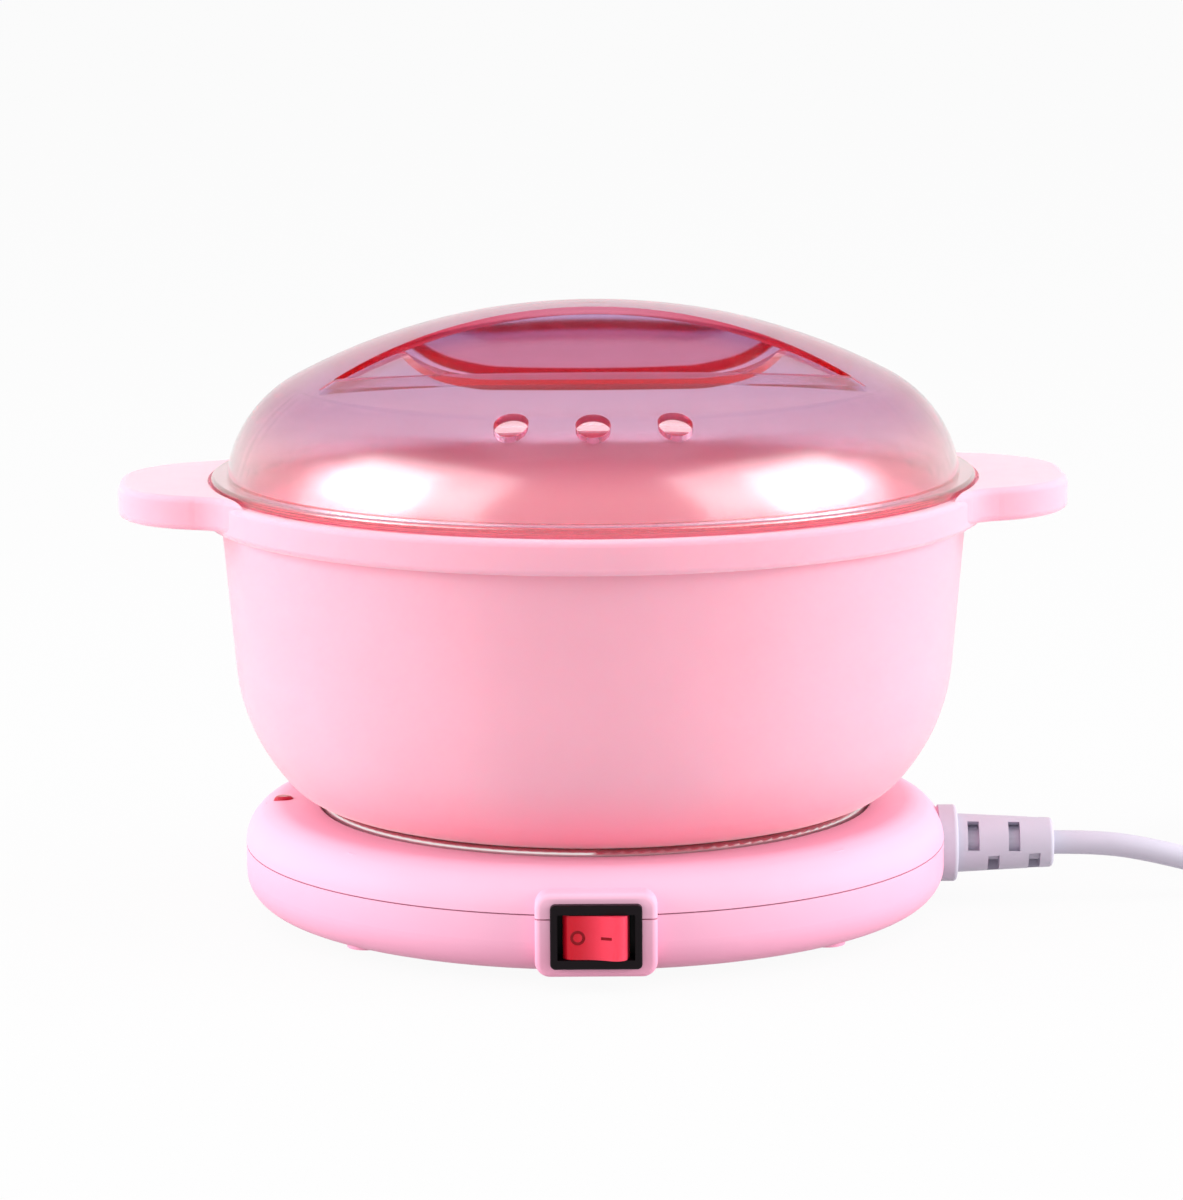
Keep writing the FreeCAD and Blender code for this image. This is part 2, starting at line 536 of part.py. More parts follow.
def thermostat():
    cap = rod("stat_cap", "cap_r", "cap_h", z=CAP_LOW)
    can = rod("stat_can", "stat_r", "stat_h", z=CAP_LOW + " - stat_h")
    piece("thermostat", fuse("thermostat", cap, can))
    low = CAP_LOW + " - bracket_t"
    disc = rod("bracket_disc", "bracket_r", "bracket_t", z=low)
    strip = brick("bracket_strip", "2 * (stat_hole + bracket_end)", "bracket_w", "bracket_t", z=low)
    holes = [rod("bracket_bore", "stat_r + stat_gap", "bracket_t", z=low)]
    screws, blades = [], []
    for side in (-1, 1):
        x = "%d * stat_hole" % side
        holes.append(rod("bracket_hole_%d" % (side + 1), "screw_hole_r", "bracket_t", x, "0", low))
        screws.append(screw("stat_screw_%d" % (side + 1), "bracket_t + cap_h + screw_bite", x, "0", low))
        y = "%d * (blade_in + blade_len / 2)" % side
        blades.append(brick("stat_blade_%d" % (side + 1), "tab_w", "blade_len", "tab_t", "0", y,
                            CAP_LOW + " - stat_h - tab_t"))
    piece("thermostat_bracket", cut("thermostat_bracket", fuse("bracket_solid", disc, strip), *holes))
    piece("thermostat_screws", group("thermostat_screws", *screws))
    piece("thermostat_terminals", group("thermostat_terminals", *blades))


def thermal_fuse():
    axis_z = CLAMP_LOW + " - fuse_r - clip_gap"
    piece("thermal_fuse", rod("thermal_fuse", "fuse_r", "fuse_len", "-fuse_len / 2", "-fuse_y", axis_z, "X"))
    inner, outer = "fuse_r + clip_gap", "fuse_r + clip_gap + clip_t"
    leg = "fuse_r + clip_gap"
    arch = rod("clip_arch", outer, "clip_len", "-clip_len / 2", "-fuse_y", axis_z, "X")
    legs = brick("clip_legs", "clip_len", "2 * (%s)" % outer, leg, "0", "-fuse_y", axis_z)
    foot = brick("clip_foot", "clip_len", "2 * clip_foot", "clip_t", "0", "-fuse_y", CLAMP_LOW + " - clip_t")
    bore = rod("clip_bore", inner, "2 * clip_len", "-clip_len", "-fuse_y", axis_z, "X")
    room = brick("clip_room", "2 * clip_len", "2 * (%s)" % inner, "2 * (%s)" % leg, "0", "-fuse_y", axis_z)
    above = brick("clip_above", "2 * clip_len", "4 * clip_foot", "2 * clip_t", "0", "-fuse_y", CLAMP_LOW)
    piece("fuse_clip", cut("fuse_clip", fuse("clip_solid", arch, legs, foot), bore, room, above))


# Switch

def switch_body():
    body = new_body("switch_frame")
    frame = rectangle("frame_w", "frame_h", "frame_r", "0", "switch_z")
    feature = pad(body, "frame_pad", "XZ_Plane", frame, "frame_t", "box_front")
    front = -value("box_front + frame_t")
    soften(body, feature, "frame_edge", lambda e: abs(e.BoundBox.YMax - front) < 0.01)
    rear = block("switch_rear", rectangle("body_w", "body_h", "0", "0", "switch_z"), "XZ_Plane", "body_depth",
                 "box_front - body_depth")
    window = block("switch_window", rectangle("window_w", "window_h", "0", "0", "switch_z"), "XZ_Plane",
                   "window_depth + frame_t", "box_front + frame_t - window_depth")
    chamber = block("switch_chamber", rectangle("chamber_w", "chamber_h", "0", "0", "switch_z"), "XZ_Plane",
                    "body_depth - back_wall", "box_front - body_depth + back_wall")
    pins = rod("pin_holes", "pivot_r + pivot_gap", "rocker_h + 2 * pivot_len + 0.2", "0", "-" + PIVOT_Y,
               "switch_z - rocker_h / 2 - pivot_len - 0.1")
    holes, lugs = [window, chamber, pins], []
    reach = "back_wall + lug_in + lug_len"
    far_y = "body_depth + lug_len - box_front"
    for side in (-1, 1):
        x = "%d * lug_x" % side
        holes.append(brick("lug_slot_%d" % (side + 1), "tab_t + 2 * lug_gap", "2 * back_wall",
                           "tab_w + 2 * lug_gap",
                           x, "body_depth - back_wall / 2 - box_front", "switch_z - tab_w / 2 - lug_gap"))
        blade = brick("lug_blade_%d" % (side + 1), "tab_t", reach, "tab_w", x,
                      "%s - (%s) / 2" % (far_y, reach),
                      "switch_z - tab_w / 2")
        lugs.append(blade)
    tip = "(arm_len - arm_left)"
    depth = "(rocker_back + stem_len + arm_t)"
    face = "(%s * sin(rocker_tilt) + %s * cos(rocker_tilt) + contact_gap - %s)" % (tip, depth, PIVOT_Y)
    stub = rod("contact_stub", "contact_r", "body_depth - back_wall - lug_in - box_front - %s + tab_t" % face,
               "lug_x", face, "switch_z", "Y")
    lugs[1] = fuse("contact_lug", lugs[1], stub)
    piece("switch_body", cut("switch_body", fuse("switch_solid", body, rear), *holes))
    piece("switch_terminals", group("switch_terminals", *lugs))


def rocker():
    """Rocker and its contact arm, drawn about the pivot and set to the off position."""
    half_w, stem_y = "rocker_w / 2", "rocker_back + stem_len"
    body = new_body("rocker_body")
    pad(body, "rocker_pad", "XY_Plane", [
        ("-" + half_w, "-rocker_end", "rocker_round"), ("0", "-rocker_mid", "rocker_valley"),
        (half_w, "-rocker_end", "rocker_round"), (half_w, "rocker_back"), ("-" + half_w, "rocker_back")],
        "rocker_h", both_ways=True)
    pad(body, "rocker_stem", "XY_Plane", [
        ("-stem_w / 2", "0"), ("stem_w / 2", "0"), ("stem_w / 2", stem_y), ("-stem_w / 2", stem_y)],
        "arm_h", both_ways=True)
    circle = drawn(body, "rocker_pin_outline", "XY_Plane", [])
    circle.addGeometry(Part.Circle(V(0, 0, 0), UP, value("pivot_r")))
    circle.addConstraint(Sketcher.Constraint("Coincident", 0, 3, -1, 1))
    index = circle.addConstraint(Sketcher.Constraint("Radius", 0, value("pivot_r")))
    circle.setExpression("Constraints[%d]" % index, link("pivot_r"))
    pins = body.newObject("PartDesign::Pad", "rocker_pins")
    pins.Profile = circle
    pins.Midplane = True
    bind(pins, Length="rocker_h + 2 * pivot_len")
    arm = block("contact_strip", [
        ("-arm_left", stem_y), ("arm_len - arm_left", stem_y), ("arm_len - arm_left", stem_y + " + arm_t"),
        ("-arm_left", stem_y + " + arm_t")], "XY_Plane", "arm_h", both_ways=True)
    for obj in (body, arm):
        bind(seat(obj, "0", "-" + PIVOT_Y, "switch_z"), Placement__Rotation__Angle="-rocker_tilt")
    piece("contact_arm", arm)
    left_face = "-%s - rocker_mid * cos(rocker_tilt)" % PIVOT_Y
    ring = cut("mark_ring", rod("mark_ring_out", "mark_r", "2 * mark_depth", "-mark_x",
                                left_face + " - mark_depth",
                                "switch_z", "Y"),
               rod("mark_ring_in", "mark_r - mark_line", "2 * mark_depth", "-mark_x",
                   left_face + " - mark_depth",
                   "switch_z", "Y"))
    dash = block("mark_dash", rectangle("dash_len", "2 * mark_depth", "0", "dash_x",
                                        "-rocker_mid * cos(rocker_tilt)"), "XY_Plane", "mark_line",
                                        both_ways=True)
    seat(dash, "0", "-" + PIVOT_Y, "switch_z")
    bind(dash, Placement__Rotation__Angle="-2 * rocker_tilt")
    piece("rocker", cut("rocker", body, ring, dash))


# Indicator, terminal block and cord clamp

def indicator():
    x, y = ring_place("lamp_ring", "lamp_angle")
    lens = turned("lens_solid", [
        ("0", "lens_boss_low + lens_proud"), ("lens_r", "lens_boss_low + lens_proud", "lens_dome"),
        ("lens_r", "0"),
        ("lens_flange_r", "0"), ("lens_flange_r", "-lens_flange_t"), ("lens_skirt_r", "-lens_flange_t"),
        ("lens_skirt_r", "-lens_flange_t - lens_skirt_h"), ("lens_skirt_in", "-lens_flange_t - lens_skirt_h"),
        ("lens_skirt_in", "-lens_flange_t"), ("0", "-lens_flange_t")])
    piece("indicator_lens", seat(lens, x, y, LENS_SEAT))
    top = "-lens_flange_t"
    lamp = turned("lamp_solid", [("0", top), ("lamp_r", top, "lamp_r / 2"), ("lamp_r", top + " - lamp_len"),
                                 ("0", top + " - lamp_len")])
    piece("indicator_lamp", seat(lamp, x, y, LENS_SEAT))


def terminal_block():
    solid = brick("block_solid", "block_l", "block_w", "block_h", "block_x", "block_y", FLOOR)
    wells, screws = [], []
    for side in (-1, 1):
        x = "block_x + %d * block_l / 4" % side
        top = FLOOR + " + block_h"
        wells.append(rod("block_well_%d" % (side + 1), "head_r + 0.2", "head_h + 1", x, "block_y",
                         top + " - head_h - 1"))
        wells.append(rod("block_bore_%d" % (side + 1), "pilot_r", "block_h / 2", x, "block_y",
                         top + " - head_h - 1 - block_h / 2"))
        screws.append(screw("block_screw_%d" % (side + 1), "block_h / 2", x, "block_y",
                            top + " - head_h - 1", up=False))
    piece("terminal_block", cut("terminal_block", solid, *wells))
    piece("terminal_screws", group("terminal_screws", *screws))


def cord_clamp():
    low = "relief_z + clamp_squeeze"
    bar = brick("clamp_bar", "cradle_l", "cradle_w", "clamp_bar_h", "cradle_x", "0", low)
    holes = [rod("clamp_groove", "cord_r + cord_fit", "2 * cradle_l", "cradle_x - cradle_l", "0",
                 "relief_z", "X")]
    screws = []
    for side in (-1, 1):
        y = "%d * clamp_hole_y" % side
        holes.append(rod("bar_hole_%d" % (side + 1), "screw_hole_r", "clamp_bar_h", "cradle_x", y, low))
        screws.append(screw("bar_screw_%d" % (side + 1), "clamp_bar_h + clamp_screw_len / 2", "cradle_x", y,
                            low + " + clamp_bar_h", up=False))
    piece("cord_clamp", cut("cord_clamp", bar, *holes))
    piece("cord_clamp_screws", group("cord_clamp_screws", *screws))


# Strain relief, cord, coil and plug

def strain_relief():
    bore = "cord_r + cord_fit"
    back = "landing_in - landing_depth"
    solid = turned("relief_solid", [
        (bore, back + " - collar_t"), ("collar_r", back + " - collar_t"), ("collar_r", back),
        ("neck_r", back),
        ("neck_r", "0"), ("flange_r", "0"), ("flange_r", "flange_t", "flange_edge"), ("relief_r", "flange_t"),
        ("relief_tip_r", "relief_len", "flange_edge"), (bore, "relief_len")])
    seat(solid, RELIEF_X, "0", "relief_z", "X")
    core = rod("relief_core", "core_r", "relief_len", RELIEF_X, "0", "relief_z", "X")
    slots = []
    for i in range(4):
        x = RELIEF_X + " + flange_t + slot_first + %d * slot_pitch - slot_w / 2" % i
        for j, angle in enumerate(SLOT_ANGLES[i % 2]):
            slot = doc.addObject("Part::Box", "slot_%d_%d" % (i, j))
            slot.Placement = FreeCAD.Placement(V(0, 0, 0), FreeCAD.Rotation(V(1, 0, 0), angle))
            bind(slot, Length="slot_w", Width="slot_len", Height="2 * relief_r", Placement__Base__x=x,
                 Placement__Base__y="-slot_len / 2 * cos(%d)" % angle,
                 Placement__Base__z="relief_z - slot_len / 2 * sin(%d)" % angle)
            slots.append(slot)
    cuts = cut("relief_slots", fuse("slot_blocks", *slots), core)
    piece("strain_relief", cut("strain_relief", solid, cuts))
    piece("cord_inner", rod("cord_inner", "cord_r", RELIEF_END + " - cord_inner_x", "cord_inner_x", "0",
                            "relief_z", "X"))


def tube(name, edges, radius, start, heading):
    """Round tube along a path of edges."""
    path = Part.Wire(edges)
    section = Part.Wire([Part.Circle(start, heading, radius).toShape()])
    solid = path.makePipeShell([section], True, False)
    if solid.Volume < 0:
        solid.reverse()
    expected = math.pi * radius ** 2 * path.Length
    print("%s: length %.1f, volume over section times length %.4f" % (name, path.Length,
                                                                      solid.Volume / expected))
    obj = doc.addObject("Part::Feature", name)
    obj.Shape = solid
    obj.Placement = FreeCAD.Placement()
    return piece(name, obj), path.Length


def rounded_route(points):
    """Straight runs joined by tangent arcs as large as the runs allow, and the least radius."""
    edges, radii, here = [], [], points[0]
    for before, corner, after in zip(points, points[1:], points[2:]):
        arm_in, arm_out = (before - corner), (after - corner)
        turn = math.pi - arm_in.getAngle(arm_out)
        reach = 0.45 * min(arm_in.Length, arm_out.Length)
        radii.append(reach / math.tan(turn / 2))
        arm_in.normalize()
        arm_out.normalize()
        first, last = corner + arm_in * reach, corner + arm_out * reach
        inward = (arm_in + arm_out).normalize()
        depth = radii[-1] / math.cos(turn / 2) - radii[-1]
        edges.append(Part.LineSegment(here, first).toShape())
        edges.append(Part.Arc(first, corner + inward * depth, last).toShape())
        here = last
    edges.append(Part.LineSegment(here, points[-1]).toShape())
    return edges, radii


def route(name, points, radius):
    edges, radii = rounded_route(points)
    print("%s: bend radii %s" % (name, " ".join("%.0f" % r for r in radii)))
    return tube(name, edges, radius, points[0], points[1] - points[0])


def coil_edges():
    """Half turns that spiral in, climb a layer and spiral out again, with straight ends."""
    cx, cy, pitch = value("coil_x"), value("coil_y"), value("coil_pitch")
    radius, low = value("coil_r"), value("cord_r + coil_lift")
    high, straight = low + pitch, 2 * value("cord_r")
    inward = [radius - k * pitch / 2 for k in range(COIL_HALF_TURNS)]
    climb = radius - COIL_HALF_TURNS * pitch / 2
    outward = [climb + k * pitch / 2 for k in range(1, COIL_HALF_TURNS)]
    y = cy - radius
    edges = [Part.LineSegment(V(cx - straight, y, low), V(cx, y, low)).toShape()]
    for k, r in enumerate(inward + [climb] + outward):
        way = 1 if k % 2 == 0 else -1
        rising = k == COIL_HALF_TURNS
        z0 = low if k <= COIL_HALF_TURNS else high
        z1 = low if k < COIL_HALF_TURNS else high
        start, end = V(cx, y, z0), V(cx, y + 2 * r * way, z1)
        ahead = V(way, 0, 0)
        if rising:
            reach = (end - start).Length / 2
            joint = (start + end) / 2 + ahead * reach
            edges.append(Part.Arc(start, quarter(start, joint, ahead), joint).toShape())
            edges.append(Part.Arc(joint, quarter(end, joint, ahead), end).toShape())
        else:
            edges.append(Part.Arc(start, (start + end) / 2 + ahead * r, end).toShape())
        y = end.y
    edges.append(Part.LineSegment(V(cx, y, high), V(cx + straight, y, high)).toShape())
    return edges, V(cx + straight, y, high)


def quarter(tip, joint, ahead):
    """Middle of the quarter arc that leaves tip along ahead and ends at joint."""
    reach = (joint - tip).dot(ahead)
    corner = tip + ahead * reach
    centre = tip + joint - corner
    return centre + (corner - centre).normalize() * (joint - centre).Length


def least_gap(name, edges, radius):
    """Print the least room between stretches of the tube that lie beside each other."""
    path = Part.Wire(edges)
    step = radius / 2
    points = path.discretize(Number=int(path.Length / step))
    apart = int(6 * radius / step)
    least = min((points[i] - points[j]).Length for i in range(len(points)) for j in range(i + apart,
                                                                                          len(points)))
    print("%s: least gap to itself %.2f" % (name, least - 2 * radius))


def cord():
    r = value("cord_r")
    exit_x, exit_z = value(RELIEF_END), value("relief_z")
    lie = value("cord_r + coil_lift")
    coil, coil_end = coil_edges()
    start = coil[0].Vertexes[0].Point
    lead = [V(exit_x, 0, exit_z), V(exit_x + 12, 0, exit_z), V(exit_x + 25, 0.5, exit_z - 2.2),
            V(exit_x + 40, 2, exit_z - 6.4), V(exit_x + 56, start.y - 2, lie + 0.7),
            V(start.x - 8.2, start.y, lie), start]
    lengths = [route("cord_lead", lead, r)[1]]
    least_gap("cord_coil", coil, r)
    lengths.append(tube("cord_coil", coil, r, start, V(1, 0, 0))[1])
    mid_z = value("plug_h / 2")
    tail = [coil_end, coil_end + V(20, 0, 0), V(coil_end.x + 44, coil_end.y - 2.4, mid_z),
            V(coil_end.x + 64, coil_end.y - 2.4, mid_z)]
    lengths.append(route("cord_tail", tail, r)[1])
    print("cord: free length %.0f" % sum(lengths))
    plug(tail[-1])
    tie()


def plug(root):
    """Flat two-pin plug that lies on the table, its neck on the end of the cord."""
    x, y = root.x, root.y
    neck = rod("plug_neck", "plug_neck_r", "plug_neck_l", str(x), str(y), "plug_h / 2", "X")
    body = new_body("plug_block")
    face = [("0", "-plug_w / 3"), ("plug_l", "-plug_w / 2", "plug_corner"),
            ("plug_l", "plug_w / 2", "plug_corner"), ("0", "plug_w / 3")]
    feature = pad(body, "plug_pad", "XY_Plane", face, "plug_h")
    soften(body, feature, "plug_corner / 3", lambda e: abs(e.BoundBox.ZLength) < 0.01)
    seat(body, "%s + plug_neck_l" % x, str(y), "0")
    sockets, pins = [], []
    for side in (-1, 1):
        place_y = "%s + %d * pin_gap / 2" % (y, side)
        start = "%s + plug_neck_l + plug_l - pin_root" % x
        sockets.append(rod("pin_socket_%d" % (side + 1), "pin_r - pin_root_step", "pin_root", start, place_y,
                           "plug_h / 2", "X"))
        pin = turned("pin_%d" % (side + 1), [
            ("0", "0"), ("pin_r - pin_root_step", "0"), ("pin_r - pin_root_step", "pin_root"),
            ("pin_r", "pin_root"),
            ("pin_r", "pin_root + pin_len", "pin_r / 2"), ("0", "pin_root + pin_len")])
        pins.append(seat(pin, start, place_y, "plug_h / 2", "X"))
    piece("mains_plug", cut("mains_plug", fuse("plug_solid", body, neck), *sockets))
    piece("plug_pins", group("plug_pins", *pins))


def tie():
    """Flat band round the turns at the far side of the coil."""
    inner_x = "coil_r - %d * coil_pitch / 2 - cord_r - tie_slack" % (COIL_HALF_TURNS - 1)
    outer_x = "coil_r + cord_r + 2 * tie_gap"
    low, high = "coil_lift - tie_gap", "coil_lift + coil_pitch + 2 * cord_r + tie_gap"
    corner = "2 * tie_t"
    inside = [(inner_x, low, corner), (outer_x, low, corner), (outer_x, high, corner),
              (inner_x, high, corner)]
    outside = [("%s - tie_t" % inner_x, "%s - tie_t" % low, corner + " + tie_t"),
               ("%s + tie_t" % outer_x, "%s - tie_t" % low, corner + " + tie_t"),
               ("%s + tie_t" % outer_x, "%s + tie_t" % high, corner + " + tie_t"),
               ("%s - tie_t" % inner_x, "%s + tie_t" % high, corner + " + tie_t")]
    band = cut("coil_tie", block("tie_outer", outside, "XZ_Plane", "tie_w", both_ways=True),
               block("tie_inner", inside, "XZ_Plane", "2 * tie_w", both_ways=True))
    piece("coil_tie", seat(band, "coil_x", "coil_y + coil_pitch / 2", "0"))


def leads():
    """Insulated leads inside the base, from terminal to terminal."""
    # the steps below are drawn for a base of radius 85.4 and height 26.2
    across, up = value("base_r") / 85.4, value("base_top") / 26.2

    def point(x, y, z):
        return V(value(x), value(y), value(z))

    def near(end, *steps):
        """Points at steps from an end, stretched with the base."""
        return [end + V(x * across, y * across, z * up) for x, y, z in steps]

    lug_y, fuse_z = "body_depth + lug_len - box_front", CLAMP_LOW + " - fuse_r - clip_gap"
    blade_z, wire_z = CAP_LOW + " - stat_h - tab_t / 2", FLOOR + " + rib_h + lead_r + block_gap"
    tab_y, tab_z = "element_out + tongue_out / 2", PLATE_LOW + " - element_t - tab_drop"
    middle = V(0, 0, 0)
    cord_live, cord_neutral = [point("cord_inner_x", y, "relief_z") for y in ("-cord_r / 2", "cord_r / 2")]
    lug_in, lug_out = [point(x, lug_y, "switch_z") for x in ("lug_x", "-lug_x")]
    fuse_in, fuse_out = [point(x, "-fuse_y", fuse_z) for x in ("-fuse_len / 2", "fuse_len / 2")]
    blade_in, blade_out = [point("0", y, blade_z) for y in ("-blade_in - blade_len", "blade_in + blade_len")]
    tab_live, tab_neutral = [point(x, tab_y, tab_z) for x in ("tongue_x", "-tongue_x")]
    side_live, side_neutral = [point(x, tab_y + " - tab_t / 2", tab_z + " + 2 * lead_r")
                               for x in ("tongue_x", "-tongue_x")]
    block_in = point("block_x - block_l / 2", "block_y + lead_r", wire_z)
    block_out = point("block_x + block_l / 2", "block_y", wire_z)
    lamp = [point("lamp_ring * cos(lamp_angle)", "lamp_ring * sin(lamp_angle) + %d * lamp_r / 2" % side,
                  LENS_SEAT + " - lens_flange_t - lamp_len") for side in (-1, 1)]
    routes = {
        "live_lead": near(cord_live, (0, 0, 0), (-9, 0, 0), (-16, -12.5, -2.8))
        + near(middle, (44, -30, 9.5), (31, -44, 9), (16, -49, 10))
        + near(lug_in, (1, 14, -0.5), (0, 6, 0), (0, 0, 0)),
        "switched_lead": near(lug_out, (0, 0, 0), (0, 6, 0), (-4, 15, 0), (-13, 22, 2))
        + near(fuse_in, (-14, -2, -2), (-6, 0, 0), (0, 0, 0)),
        "fuse_lead": near(fuse_out, (0, 0, 0), (6, 0, 0), (12, 3, -2), (10, 9, -5))
        + near(blade_in, (2, -10, -0.5), (0, -5, 0), (0, 0, 0)),
        "heater_lead": near(blade_out, (0, 0, 0), (0, 6, 0), (2, 14, -3))
        + near(tab_live, (-3, -10, -6), (0, -2, -7), (0, 0, -4), (0, 0, 0)),
        "neutral_lead": near(tab_neutral, (0, 0, 0), (0, 0, -4), (1.5, 2, -7.5))
        + near(tab_live, (-10, 7, -8.1), (2, 7, -8.4), (11, -2, -7.4))
        + near(block_in, (-7, 8, 0.2), (-5, 0, 0), (0, 0, 0)),
        "supply_neutral_lead": near(cord_neutral, (0, 0, 0), (-7, 0, 0), (-12, 6.5, -1.4), (-11, 16.5, -3.2))
        + near(block_out, (10, -4, 0.3), (5, 0, 0), (0, 0, 0)),
        "lamp_lead_1": near(lamp[0], (0, 0, 0), (0, 0, -5), (9, 4.2, -6.9))
        + near(middle, (-52, 4, 6.2), (-38, 20, 6.2), (-24, 33, 7))
        + near(side_neutral, (-4, -8.6, -4.9), (0, -5, 0), (0, 0, 0)),
        "lamp_lead_2": near(lamp[1], (0, 0, 0), (0, 0, -5), (9, 5.8, -6.9))
        + near(middle, (-52, 9, 6.2), (-38, 26, 6.2), (-22, 39, 6.5), (-6, 42, 9), (4, 41, 14))
        + near(side_live, (0, -6, 0), (0, 0, 0)),
    }
    for name, points in routes.items():
        route(name, points, value("lead_r"))


# Pot and lid

def pot():
    tip, root, inner = "pot_neck_r + ear_out", "pot_neck_r + ear_root", "pot_neck_r - ear_sink"
    quarter_ear = [(tip, "ear_tip_half", "ear_round"), (root, "ear_root_half", "ear_flare"),
                   (inner, "ear_root_half + ear_spread")]
    ears = []
    for sx, sy in ((1, 1), (-1, 1), (-1, -1), (1, -1)):
        corners = quarter_ear if sx * sy > 0 else quarter_ear[::-1]
        ears += [("%d * (%s)" % (sx, c[0]), "%d * (%s)" % (sy, c[1]), *c[2:]) for c in corners]
    bar = new_body("ear_bar")
    feature = pad(bar, "ear_pad", "XY_Plane", ears, "rim_h", RIM_LOW + " + ear_lift")
    soften(bar, feature, "ear_edge", lambda e: e.BoundBox.ZLength < 0.01)
    bind(seat(bar), Placement__Rotation__Angle="pot_turn")
    heel, knee = "pot_neck_r - pot_heel_in", "pot_neck_r - pot_knee_in"
    knee_z = PLATE_TOP + " + pot_knee_h"
    bowl = turned("pot_bowl", [
        ("0", PLATE_TOP), (heel, PLATE_TOP, "pot_heel_round"), (knee, knee_z, "pot_knee_round"),
        ("pot_neck_r", RIM_LOW), ("pot_neck_r + rim_over", RIM_LOW, "rim_edge"),
        ("pot_neck_r + rim_over", "rim_top", "rim_edge"), ("0", "rim_top")])
    lower = "atan(pot_knee_h / (pot_heel_in - pot_knee_in))"
    upper = "atan((%s - %s) / pot_knee_in)" % (RIM_LOW, knee_z)
    middle, spread = "((%s + %s) / 2)" % (lower, upper), "((%s - %s) / 2)" % (upper, lower)
    seat_r = "lid_flange_r + skirt_gap"
    hollow = turned("pot_hollow", [
        ("0", PLATE_TOP + " + pot_wall"), ("%s - pot_wall * tan(%s / 2)" % (heel, lower),
                                           PLATE_TOP + " + pot_wall",
                                           "pot_heel_round - pot_wall"),
        ("%s - pot_wall * sin(%s) / cos(%s)" % (knee, middle, spread),
         "%s + pot_wall * cos(%s) / cos(%s)" % (knee_z, middle, spread), "pot_knee_round - pot_wall"),
        (MOUTH_R, RIM_LOW), (MOUTH_R, "rim_top"), (seat_r, "rim_top"), (seat_r, "rim_top + rim_h"),
        ("0", "rim_top + rim_h")])
    piece("pot", cut("pot", fuse("pot_solid", bowl, bar), hollow))


LID_TOP = "(rim_top + lid_rise)"
FLANGE_TOP = "(rim_top + lid_flange_t)"
LEAN = "(sqrt(lid_crown ^ 2 - lid_shoulder_r ^ 2) / lid_crown)"
ROUND_X = "(lid_shoulder_r - lid_round * lid_shoulder_r / lid_crown)"
ROUND_Z = "(%s - lid_crown + (lid_crown - lid_round) * %s)" % (LID_TOP, LEAN)


def dome(inset):
    """Corners of the dome's section from its top to the flange, moved in by inset."""
    crown, turn = "(lid_crown - %s)" % inset, "(lid_round - %s)" % inset
    return [("0", "%s - %s" % (LID_TOP, inset), 0, crown),
            ("%s * lid_shoulder_r / lid_crown" % crown, "%s - lid_crown + %s * %s" % (LID_TOP, crown, LEAN),
             0, turn),
            ("%s + sqrt(%s ^ 2 - (%s - %s) ^ 2)" % (ROUND_X, turn, FLANGE_TOP, ROUND_Z), FLANGE_TOP)]


def scoop(name, grow):
    """Front finger scoop, grown by a wall for the inside of the lid."""
    base, tall = "rim_top + lid_rise / 3", "2 * lid_rise"
    bar = rod(name + "_bar", "bar_curve + %s" % grow, tall, "0", "-bar_half - bar_curve", base)
    reach = rod(name + "_reach", "scoop_curve + %s" % grow, tall, "0", "scoop_curve - scoop_reach", base)
    lens = common(name + "_lens", bar, reach)
    crown = turned(name + "_crown", dome(grow) + [("0", FLANGE_TOP)])
    seat(crown, "0", "-shelf_shift", "-shelf_d")
    side = [("(floor_half + %s / 4)" % grow, "-%s" % grow, "floor_round"),
            ("(floor_half + floor_ramp + %s / 2)" % grow, "floor_ramp_h - %s" % grow, "floor_round"),
            ("(floor_half + floor_ramp + floor_flare + 2 * %s)" % grow, "floor_drop + lid_rise")]
    trough = [("-" + x, *rest) for x, *rest in side[::-1]] + side
    floor = block(name + "_floor", trough, "XZ_Plane", "3 * scoop_reach", both_ways=True)
    floor.Placement = FreeCAD.Placement(V(0, 0, 0), FreeCAD.Rotation(V(1, 0, 0), 1))
    bind(floor, Placement__Base__y="-bar_half", Placement__Base__z=LID_TOP + " - floor_drop",
         Placement__Rotation__Angle="-floor_tilt")
    front = fuse(name + "_front", cut(name + "_shelf", lens, crown), common(name + "_well", lens, floor))
    return front, mirrored(name + "_back", front)


def lid():
    skirt = "(%s - skirt_gap)" % MOUTH_R
    outer = turned("lid_outer", dome("0") + [
        ("lid_flange_r", FLANGE_TOP, "lid_edge"), ("lid_flange_r", "rim_top", "lid_edge"), (skirt, "rim_top"),
        (skirt, "rim_top - skirt_h"), ("0", "rim_top - skirt_h")])
    inner = turned("lid_inner", dome("lid_wall") + [
        ("%s - lid_wall" % skirt, "rim_top"), ("%s - lid_wall" % skirt, "rim_top - 2 * skirt_h"),
        ("0", "rim_top - 2 * skirt_h")])
    hollow = cut("lid_hollow", inner, *scoop("scoop_in", "lid_wall"))
    holes = []
    skin_z = "%s + sqrt(lid_round ^ 2 - (steam_ring - %s) ^ 2)" % (ROUND_Z, ROUND_X)
    for i in (-1, 0, 1):
        x = "%d * steam_pitch" % i
        hole = rod("steam_%d" % (i + 1), "steam_r", "steam_len")
        hole.Placement = FreeCAD.Placement(V(0, 0, 0), FreeCAD.Rotation(V(1, 0, 0), value("steam_lean")))
        holes.append(bind(
            hole, Placement__Rotation__Angle="steam_lean", Placement__Base__x=x,
            Placement__Base__y="-sqrt(steam_ring ^ 2 - (%s) ^ 2) + steam_len / 2 * sin(steam_lean)" % x,
            Placement__Base__z=skin_z + " - steam_len / 2 * cos(steam_lean)"))
    shell = cut("lid_shell", cut("lid_scooped", outer, *scoop("scoop_out", "0")), hollow)
    piece("lid", cut("lid", shell, *holes))


